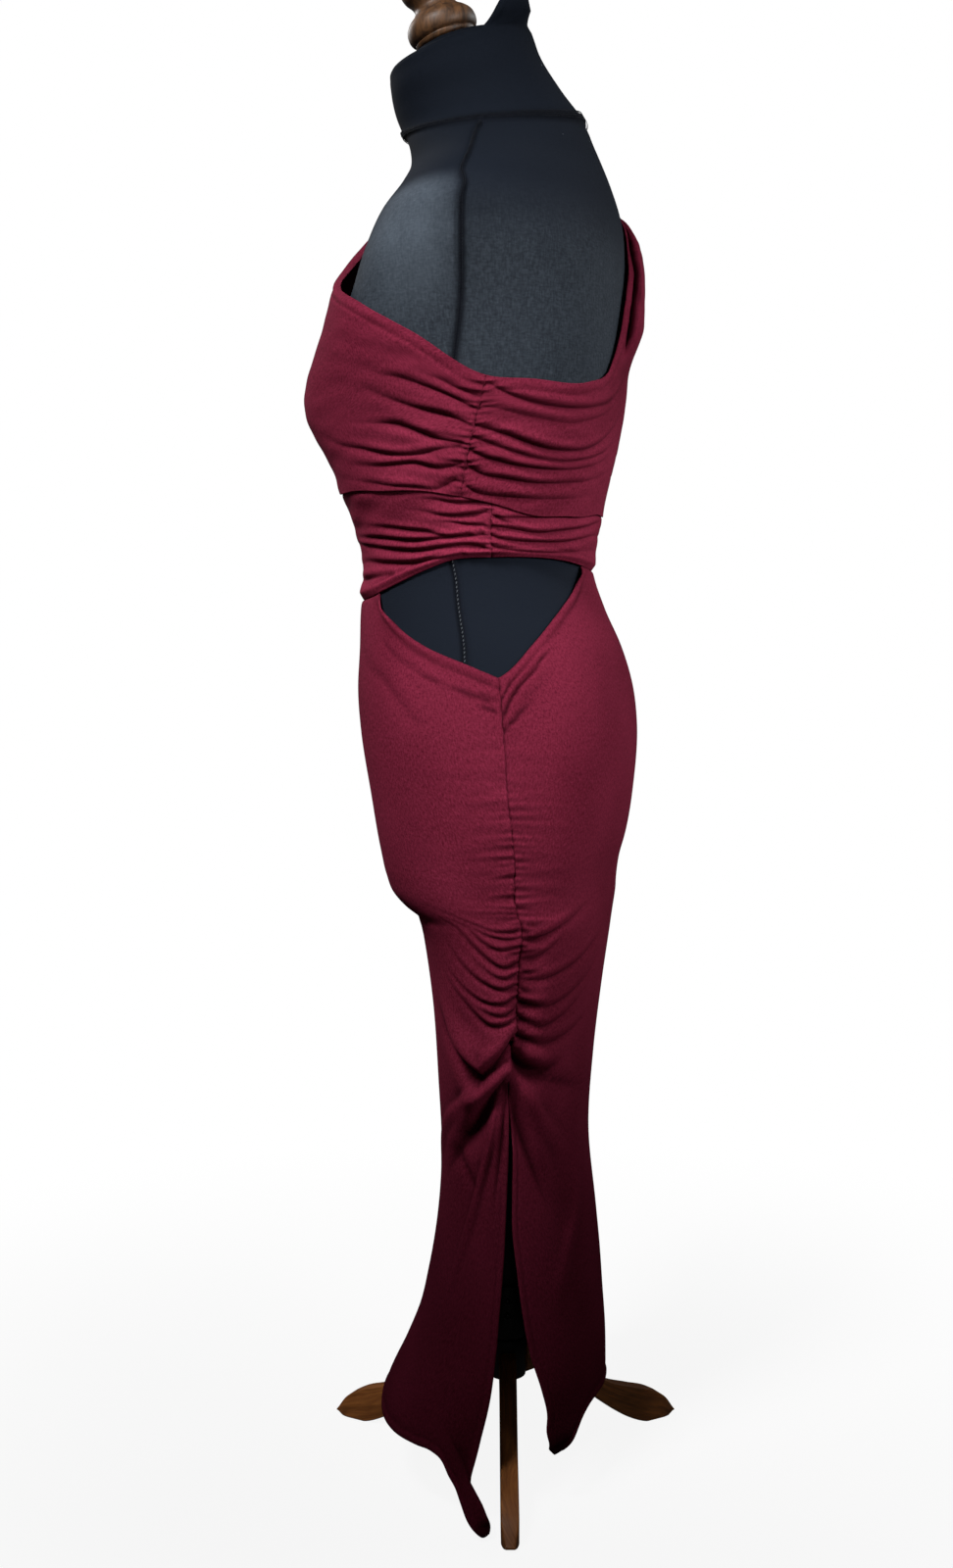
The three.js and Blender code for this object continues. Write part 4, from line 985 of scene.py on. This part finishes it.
# Stained beech under satin varnish: fine straight grain with darker streaks and a soft gloss.
def makeWood(name, light, dark, coordinates, stretched):
    material, tree = newMaterial(name)
    if coordinates == "cut":
        place = addNode(tree, "ShaderNodeUVMap", {"uv_map": "cut"}).outputs["UV"]
    else:
        place = addNode(tree, "ShaderNodeTexCoord").outputs["Object"]
    along = addNode(tree, "ShaderNodeMapping", Vector=place, Scale=stretched).outputs[0]
    streaks = addNode(tree, "ShaderNodeTexNoise", Vector=along, Scale=1 / (5 * mm), Detail=5.0,
                      Roughness=0.62, Distortion=0.4)
    pores = addNode(tree, "ShaderNodeTexNoise", Vector=along, Scale=1 / (1.2 * mm), Detail=2.0)
    figured = addNode(tree, "ShaderNodeMath", {"operation": "MULTIPLY_ADD"},
                      _0=pores.outputs["Fac"], _1=0.25, _2=streaks.outputs["Fac"])
    tone = addNode(tree, "ShaderNodeValToRGB", Fac=figured.outputs[0])
    for stop, at, colour in zip(tone.color_ramp.elements, (0.46, 0.82), (dark, light)):
        stop.position, stop.color = at, linear(colour)
    bump = addNode(tree, "ShaderNodeBump", Strength=0.15, Distance=0.0004, Height=pores.outputs["Fac"])
    shader = addNode(tree, "ShaderNodeBsdfPrincipled", Base_Color=tone.outputs["Color"], Roughness=0.55,
                     IOR=1.5, Coat_Weight=0.05, Coat_Roughness=0.35, Normal=bump.outputs["Normal"])
    addNode(tree, "ShaderNodeOutputMaterial", Surface=shader.outputs[0])
    return material


knobWood = makeWood("stained beech, turned", "#6c4828", "#2a180a", "object", (1.0, 1.0, 0.18))
legWood = makeWood("stained beech board", "#b26d34", "#754319", "cut", (0.12, 1.0, 1.0))


# A turned piece, from (radius, z) pairs; turned about +Z and then placed.
def turnedPiece(name, profile, material, around=72, placing=None, closed=False):
    profile = np.array(profile, float)
    angle = np.linspace(0, 2 * np.pi, around, endpoint=False)
    rings = [np.stack([r * np.cos(angle), r * np.sin(angle), np.full(around, z)], 1)
             for r, z in profile if r > 0]
    points = list(np.concatenate(rings))
    quads = []
    last = len(rings)
    for j in range(last if closed else last - 1):
        low, high = j * around, ((j + 1) % last) * around
        quads += [[low + k, low + (k + 1) % around, high + (k + 1) % around, high + k] for k in range(around)]
    if not closed:
        for row, z, flip in ((0, profile[0][1], True), (last - 1, profile[-1][1], False)):
            points.append(np.array([0, 0, z]))
            for k in range(around):
                fan = [row * around + k, row * around + (k + 1) % around, len(points) - 1]
                quads.append(fan[::-1] if flip else fan)
    points = np.array(points)
    if placing is not None:
        points = np.array([placing @ Vector(p) for p in points])
    return meshPiece(name, points, quads, material)


def smoothProfile(rows, steps=5):  # the same curve with more points along it
    rows = np.array(rows, float)
    share = np.concatenate([[0], np.cumsum(np.linalg.norm(np.diff(rows, axis=0), axis=1))])
    fine = np.concatenate([np.linspace(a, b, steps, endpoint=False) for a, b in zip(share[:-1], share[1:])])
    fine = np.append(fine, share[-1])
    return np.stack([read({"s": share, "v": rows[:, k]}, "s", fine, "v") for k in (0, 1)], 1)


fit = 0.3  # clearance between hard pieces that touch
knob = {"forward": 12, "neckLean": 19.5, "neckMiddle": -45, "neckHigh": 1307, "profile": [
    (25, 0), (27, 1.5), (28, 4), (28.6, 5), (31, 9), (31.6, 14), (30.5, 19), (26.5, 24), (21, 28.5),
    (18.6, 33), (20, 38), (24, 44), (26, 51), (25, 59), (20, 67), (12, 72), (3, 74),
]}
neckLean = math.radians(knob["neckLean"])
neckMiddle, neckHigh = knob["neckMiddle"], knob["neckHigh"]
knobPlace = Matrix.Translation((
    0,
    neckMiddle - knob["forward"] * math.cos(neckLean) - fit * math.sin(neckLean),
    neckHigh - knob["forward"] * math.sin(neckLean) + fit * math.cos(neckLean),
)) @ Matrix.Rotation(neckLean, 4, "X")
knobRows = [(25, 0), (26.2, 0.4), *[tuple(p) for p in smoothProfile(knob["profile"][1:])]]
knobRows = [(r - 1.3 * math.exp(-((z - 4.8) / 0.7) ** 2), z) for r, z in knobRows]  # a scribed ring
knobPiece = turnedPiece("turned_knob", [(12, 0), *knobRows], knobWood, placing=knobPlace)

leg = {"count": 3, "thick": 16, "firstTurn": 12, "round": 1.8, "stations": 90, "start": 18, "reach": 174,
       "toe": 176, "cutApart": 400, "cutUp": 60}
legTop = table("out z", [
    (18, 107), (34, 106), (60, 93), (86, 70), (112, 51), (140, 40), (164, 31), (180, 20), (192, 5),
])
legFoot = table("out z", [
    (18, 82), (40, 81), (62, 71), (82, 53), (101, 34), (119, 20), (138, 8), (158, 0), (184, 0), (192, 3.5),
])


def roundedSection(wide, high, radius, corner=5):  # a rectangle with round corners, about its middle
    radius = min(radius, wide / 2 - 0.01, high / 2 - 0.01)
    out = []
    for quarter, (sx, sy) in enumerate(((1, 1), (-1, 1), (-1, -1), (1, -1))):
        for k in range(corner + 1):
            angle = math.pi / 2 * (quarter + k / corner)
            out.append((sx * (wide / 2 - radius) + radius * math.cos(angle),
                        sy * (high / 2 - radius) + radius * math.sin(angle)))
    return np.array(out)


def makeLeg(index):
    outs = leg["start"] + leg["reach"] * packed(leg["stations"], 2, 5, 0.04)
    high, low = read(legTop, "out", outs, "z"), np.maximum(read(legFoot, "out", outs, "z"), 0)
    turn = math.radians(leg["firstTurn"] + 360 / leg["count"] * index)
    direction = np.array([math.cos(turn), math.sin(turn), 0])
    across = np.array([-math.sin(turn), math.cos(turn), 0])
    points, cuts = [], []
    for k, out in enumerate(outs):
        tall = max(high[k] - low[k], 1.2)
        taper = 1 if out < leg["toe"] else 1 - 0.45 * ease((out - leg["toe"]) / 18)
        section = roundedSection(leg["thick"] * taper, tall, leg["round"])
        for x, y in section:
            points.append(direction * out + across * x + np.array([0, 0, low[k] + tall / 2 + y]))
            overEdge = x if abs(y) > tall / 2 - 1 else 0
            cuts.append((out + leg["cutApart"] * index, leg["cutUp"] + y + overEdge))
    around, rows = len(section), len(outs)
    quads = []
    for j in range(rows - 1):
        near, far = j * around, (j + 1) * around
        quads += [[near + k, far + k, far + (k + 1) % around, near + (k + 1) % around] for k in range(around)]
    quads.append(list(range(around)))
    quads.append([(rows - 1) * around + k for k in reversed(range(around))])
    return meshPiece(f"leg_{index + 1}_board", np.array(points), quads, legWood, cuts)


legPieces = [makeLeg(k) for k in range(leg["count"])]
print("knob and legs made")

# Mild steel under satin black powder coat: a faint orange peel in a soft highlight.
def makeSteel(name, colours, rough, metallic):
    material, tree = newMaterial(name)
    place = addNode(tree, "ShaderNodeTexCoord").outputs["Object"]
    peel = addNode(tree, "ShaderNodeTexNoise", Vector=place, Scale=1 / (1.5 * mm), Detail=2.0)
    dust = addNode(tree, "ShaderNodeTexNoise", Vector=place, Scale=30.0, Detail=5.0)
    tone = addNode(tree, "ShaderNodeMix", {"data_type": "RGBA"}, Factor=dust.outputs["Fac"],
                   _6=linear(colours[0]), _7=linear(colours[1]))
    bump = addNode(tree, "ShaderNodeBump", Strength=0.12, Distance=0.0003, Height=peel.outputs["Fac"])
    shader = addNode(tree, "ShaderNodeBsdfPrincipled", Base_Color=tone.outputs[2], Roughness=rough,
                     Metallic=metallic, Normal=bump.outputs["Normal"])
    addNode(tree, "ShaderNodeOutputMaterial", Surface=shader.outputs[0])
    return material


coatedSteel = makeSteel("black powder-coated steel", ("#070606", "#0f0d0e"), 0.5, 0.0)
screwSteel = makeSteel("blackened screw steel", ("#2a2a2c", "#3a3a3d"), 0.35, 0.9)

stand = {"poleRadius": 12.5, "poleFoot": 86, "poleHead": 529 - fit, "hubRadius": 17.5, "hubLow": 80,
         "hubHigh": 118, "collarRadius": 16.5, "collarHigh": 170, "screwRadius": 3.2, "screwProud": 2.2,
         "screwHeights": (142, 156)}


def ringProfile(inner, outer, low, high, soft=1.5):
    corner = [(outer - soft + soft * math.sin(a), soft - soft * math.cos(a))
              for a in np.linspace(0, math.pi / 2, 5)]
    foot = [(r, low + z) for r, z in corner]
    head = [(r, high - z) for r, z in reversed(corner)]
    return [(inner, low), *foot, *head, (inner, high)]


poleRadius, poleFoot, poleHead = stand["poleRadius"], stand["poleFoot"], stand["poleHead"]
polePiece = turnedPiece("pole_tube", [
    (poleRadius - 1, poleFoot), (poleRadius, poleFoot + 1),
    (poleRadius, poleHead - 1), (poleRadius - 1, poleHead),
], coatedSteel)
bore = poleRadius + fit
hubPiece = turnedPiece("hub_casting", ringProfile(
    bore, stand["hubRadius"], stand["hubLow"], stand["hubHigh"]), coatedSteel, closed=True)
collarPiece = turnedPiece("collar_ring", ringProfile(
    bore, stand["collarRadius"], stand["hubHigh"] + fit, stand["collarHigh"]), coatedSteel, closed=True)


def makeScrew(index):
    radius, proud = stand["screwRadius"], stand["screwProud"]
    dome = [(radius * math.cos(a), 1 + (proud - 1) * math.sin(a)) for a in np.linspace(0, 1.15, 7)]
    socket = [(1.35, proud - 0.1), (1.3, 0.4), (0.4, 0.3)]
    turn = math.radians(leg["firstTurn"])
    out = stand["collarRadius"] + fit + 1
    placing = Matrix.Translation((out * math.cos(turn), out * math.sin(turn), stand["screwHeights"][index]))
    placing = placing @ Matrix.Rotation(turn, 4, "Z") @ Matrix.Rotation(math.pi / 2, 4, "Y")
    profile = [(radius, -1), *dome, *socket]
    return turnedPiece(f"collar_screw_{index + 1}_head", profile, screwSteel, 24, placing)


screwPieces = [makeScrew(k) for k in range(2)]
print("stand made")

# Polyester thread, laid in short stitches that sink a little into the cloth.
def makeThread(name, light, dark):
    material, tree = newMaterial(name)
    place = addNode(tree, "ShaderNodeTexCoord").outputs["Object"]
    ply = addNode(tree, "ShaderNodeTexNoise", Vector=place, Scale=1 / (0.8 * mm), Detail=2.0)
    tone = addNode(tree, "ShaderNodeMix", {"data_type": "RGBA"}, Factor=ply.outputs["Fac"],
                   _6=linear(dark), _7=linear(light))
    shader = addNode(tree, "ShaderNodeBsdfPrincipled", Base_Color=tone.outputs[2], Roughness=0.8,
                     Specular_IOR_Level=0.1)
    addNode(tree, "ShaderNodeOutputMaterial", Surface=shader.outputs[0])
    return material


plumThread = makeThread("plum thread", "#6b2136", "#4a1424")
greyThread = makeThread("charcoal thread", "#15181d", "#0c0e12")
paleThread = makeThread("pale grey thread", "#54595e", "#3c4046")


def stitchTree():
    tree = bpy.data.node_groups.new("stitch row", "GeometryNodeTree")
    face = tree.interface
    face.new_socket("Geometry", in_out="INPUT", socket_type="NodeSocketGeometry")
    sizes = {"Pitch": 0.003, "Length": 0.002, "Thread": 0.0004, "Lean": 0.0}
    for name, value in sizes.items():
        face.new_socket(name, in_out="INPUT", socket_type="NodeSocketFloat").default_value = value
    face.new_socket("Thread Material", in_out="INPUT", socket_type="NodeSocketMaterial")
    face.new_socket("Geometry", in_out="OUTPUT", socket_type="NodeSocketGeometry")
    given = addNode(tree, "NodeGroupInput")
    line = addNode(tree, "GeometryNodeMeshToCurve", Mesh=given.outputs["Geometry"])
    spaced = addNode(tree, "GeometryNodeResampleCurve", {"mode": "LENGTH"}, Curve=line.outputs[0],
                     Length=given.outputs["Pitch"])
    tangent = addNode(tree, "GeometryNodeInputTangent")
    aimed = addNode(tree, "FunctionNodeAlignRotationToVector", {"axis": "X"}, Vector=tangent.outputs[0])
    opposite = addNode(tree, "ShaderNodeMath", {"operation": "MULTIPLY"}, _0=given.outputs["Lean"], _1=0.6)
    tilt = addNode(tree, "FunctionNodeRandomValue", {"data_type": "FLOAT"}, Seed=7,
                   _2=opposite.outputs[0], _3=given.outputs["Lean"])
    spin = addNode(tree, "ShaderNodeCombineXYZ", X=0.0, Y=0.0, Z=tilt.outputs[1])
    turned = addNode(tree, "FunctionNodeRotateRotation", {"rotation_space": "LOCAL"},
                     Rotation=aimed.outputs[0], Rotate_By=spin.outputs[0])
    size = addNode(tree, "ShaderNodeCombineXYZ", X=given.outputs["Length"], Y=given.outputs["Thread"],
                   Z=given.outputs["Thread"])
    bead = addNode(tree, "GeometryNodeMeshIcoSphere", Radius=0.5, Subdivisions=1)
    row = addNode(tree, "GeometryNodeInstanceOnPoints", Points=spaced.outputs[0], Instance=bead.outputs[0],
                  Rotation=turned.outputs[0], Scale=size.outputs[0])
    real = addNode(tree, "GeometryNodeRealizeInstances", Geometry=row.outputs[0])
    smooth = addNode(tree, "GeometryNodeSetShadeSmooth", Geometry=real.outputs[0])
    painted = addNode(tree, "GeometryNodeSetMaterial", Geometry=smooth.outputs[0],
                      Material=given.outputs["Thread Material"])
    addNode(tree, "NodeGroupOutput", _0=painted.outputs[0])
    return tree


stitchRow = stitchTree()


def makeStitches(name, lines, thread, **sizes):  # lines are lists of points in mm round the pole
    points, edges = [], []
    for line in lines:
        edges += [(len(points) + k, len(points) + k + 1) for k in range(len(line) - 1)]
        points += [list(p * mm + poleAxis) for p in line]
    mesh = bpy.data.meshes.new(name + "_line")
    mesh.from_pydata(points, edges, [])
    guide = putIn(name + "_line", mesh)
    modifier = guide.modifiers.new("stitches", "NODES")
    modifier.node_group = stitchRow
    sockets = {item.name: item.identifier
               for item in stitchRow.interface.items_tree if item.in_out == "INPUT"}
    for label, value in sizes.items():
        modifier[sockets[label]] = value * (mm if label != "Lean" else 1)
    modifier[sockets["Thread Material"]] = thread
    bpy.context.view_layer.update()
    made = bpy.data.meshes.new_from_object(guide.evaluated_get(bpy.context.evaluated_depsgraph_get()))
    piece = putIn(name, made)
    bpy.data.objects.remove(guide)
    return piece


def formLine(turns, heights, proud):
    turns, heights, proud = np.broadcast_arrays(np.asarray(turns, float), heights, proud)
    return formPoint(turns, heights) + outward(formPoint, turns, heights) * proud[..., None]


coverHeights = np.linspace(534, 1212, 400)
coverSeam = read(sideSeamPath, "z", coverHeights, "turn")
coverProud = 0.15 + cover["seamHigh"] * between(0.55, 1, ease((coverHeights - 1020) / 90))
coverStitches = makeStitches("cover_stitches", [
    formLine(side * (coverSeam + row / coverDegree), coverHeights, coverProud - 0.25 * abs(row))
    for side in (1, -1) for row in (-0.9, 0.9)
] + [
    formLine([at, at + 0.6], ringHeight(np.array([at, at + 0.6])) + [-2.4, 2.4], cover["ringHigh"] * 0.9)
    for at in np.arange(0, 360, 1.3)
], greyThread, Pitch=2.4, Length=2.2, Thread=0.5, Lean=0.12)
mendHeights = np.linspace(736, 866, 90)
mendTurns = read(sideSeamPath, "z", mendHeights, "turn")
mendStitches = makeStitches("waist_stitches", [
    formLine(mendTurns, mendHeights, 0.3 + 0.55 * cover["seamHigh"]),
], paleThread, Pitch=3.6, Length=2.6, Thread=0.9, Lean=0.5)

bodiceHeights = np.linspace(905, 994, 60)
bandHeights = np.linspace(850, 893, 30)
rake = seamTurns["bodiceRake"] * (bodiceHeights - bodice["seamFoot"]) / bodice["seamHigh"]
dressStitches = makeStitches("seam_stitches", [
    formLine(seamTurns["bodice"] + rake, bodiceHeights, hug + 0.5),
    formLine(seamTurns["band"], bandHeights, hug + 0.4),
], plumThread, Pitch=3.4, Length=2.4, Thread=0.8, Lean=0.5)
print("stitches made")

# The body that each piece rides on, the solid it stands for and its slot.
cloths = {
    "bodice": (bodicePieces, {"front": (0.55, 0.34), "back": (0.45, 0.34)}, {"front": 0.115, "back": 0.086}),
    "band": (bandPieces, {"front": (0.46, 0.105), "back": (0.36, 0.08)}, {"front": 0.040, "back": 0.021}),
    "skirt": (skirtPieces, {"front": (0.52, 0.85), "back": (0.45, 0.84)}, {"front": 0.345, "back": 0.295}),
}
for part, (pieces, flats, areas) in cloths.items():
    for side, piece in pieces.items():
        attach(piece, "root")
        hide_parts(f"{part}_{side}")

hardPieces = [
    (formPiece, "form_torso", "form_cover"), (knobPiece, "neck_knob", "knob_wood"),
    (polePiece, "pole", "black_steel"), (hubPiece, "hub", "black_steel"),
    (collarPiece, "collar", "black_steel"),
    *[(piece, f"leg_{k + 1}", "leg_wood") for k, piece in enumerate(legPieces)],
    *[(piece, f"collar_screw_{k + 1}", "screw_steel") for k, piece in enumerate(screwPieces)],
]
for piece, node, slot in hardPieces:
    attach(piece, "root")
    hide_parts(node)
for piece, slot in ((coverStitches, "form_cover"), (mendStitches, "form_cover"), (dressStitches, "jersey")):
    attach(piece, "root")

# The floor, the lights and the camera.
studio = {"floorSize": 8.0, "fade": (0.15, 1.1), "ambient": 0.03}


def makeFloor():  # a pale sweep that fades into the white beyond
    material, tree = newMaterial("pale studio floor")
    place = addNode(tree, "ShaderNodeTexCoord").outputs["Object"]
    away = addNode(tree, "ShaderNodeVectorMath", {"operation": "LENGTH"}, _0=place)
    fade = addNode(tree, "ShaderNodeMapRange", {"interpolation_type": "SMOOTHSTEP"},
                   Value=away.outputs["Value"], From_Min=studio["fade"][0], From_Max=studio["fade"][1],
                   To_Min=0.9, To_Max=1.0)
    matt = addNode(tree, "ShaderNodeBsdfDiffuse", Color=(0.9, 0.9, 0.9, 1))
    glow = addNode(tree, "ShaderNodeEmission", Color=(1, 1, 1, 1), Strength=1.0)
    mix = addNode(tree, "ShaderNodeMixShader", Fac=fade.outputs[0], _1=matt.outputs[0], _2=glow.outputs[0])
    addNode(tree, "ShaderNodeOutputMaterial", Surface=mix.outputs[0])
    half = studio["floorSize"]
    mesh = bpy.data.meshes.new("floor")
    corners = [(-half, -half, 0), (half, -half, 0), (half, half, 0), (-half, half, 0)]
    mesh.from_pydata(corners, [], [(0, 1, 2, 3)])
    mesh.materials.append(material)
    floor = putIn("floor", mesh)
    floor.visible_diffuse = floor.visible_glossy = False


def makeWorld():  # white to look at, and a dimmer light all round
    world = bpy.data.worlds.new("studio")
    world.use_nodes = True
    tree = world.node_tree
    tree.nodes.clear()
    seen = addNode(tree, "ShaderNodeLightPath")
    white = addNode(tree, "ShaderNodeBackground", Color=(1, 1, 1, 1), Strength=1.0)
    soft = addNode(tree, "ShaderNodeBackground", Color=(1, 1, 1, 1), Strength=studio["ambient"])
    mix = addNode(tree, "ShaderNodeMixShader", Fac=seen.outputs["Is Camera Ray"],
                  _1=soft.outputs[0], _2=white.outputs[0])
    addNode(tree, "ShaderNodeOutputWorld", Surface=mix.outputs[0])
    bpy.context.scene.world = world


def addLight(name, place, target, size, power, spread):
    lamp = bpy.data.lights.new(name, "AREA")
    lamp.size, lamp.energy, lamp.spread = size, power, math.radians(spread)
    light = putIn(name, lamp)
    light.location = place
    light.rotation_euler = (Vector(target) - Vector(place)).to_track_quat("-Z", "Y").to_euler()


lights = [  # each with its place and target, its size in metres, its watts and its spread in degrees
    ("key softbox", (1.25, -0.45, 2.15), (0.1, -0.05, 0.9), 0.5, 3.1, 34),
    ("back softbox", (0.8, 1.4, 1.35), (0.0, 0.05, 0.9), 0.6, 2.3, 40),
    ("front fill", (1.9, 0.2, 1.2), (0.1, 0.0, 1.0), 1.2, 0.42, 36),
    ("far front fill", (-1.2, -1.5, 1.7), (0.0, 0.0, 1.0), 0.9, 1.5, 36),
    ("far back fill", (-1.3, 1.3, 1.7), (0.0, 0.0, 0.95), 0.9, 1.4, 44),
]
makeFloor()
makeWorld()
for row in lights:
    addLight(*row)
print("floor and lights made")

eye = {"turn": 12, "distance": 1.79, "aside": 0.029, "height": 0.83, "tilt": 6, "lens": 45}
camera = bpy.data.cameras.new("camera")
camera.lens, camera.sensor_width = eye["lens"], 36
viewer = putIn("camera", camera)
eyeTurn = math.radians(eye["turn"])
viewer.location = (
    eye["distance"] * math.cos(eyeTurn) + eye["aside"] * math.sin(eyeTurn) + poleAxis[0],
    eye["distance"] * math.sin(eyeTurn) - eye["aside"] * math.cos(eyeTurn) + poleAxis[1],
    eye["height"],
)
viewer.rotation_euler = (math.radians(90 - eye["tilt"]), 0, math.radians(90 + eye["turn"]))
bpy.context.scene.camera = viewer
bpy.context.scene.view_settings.view_transform = "Standard"
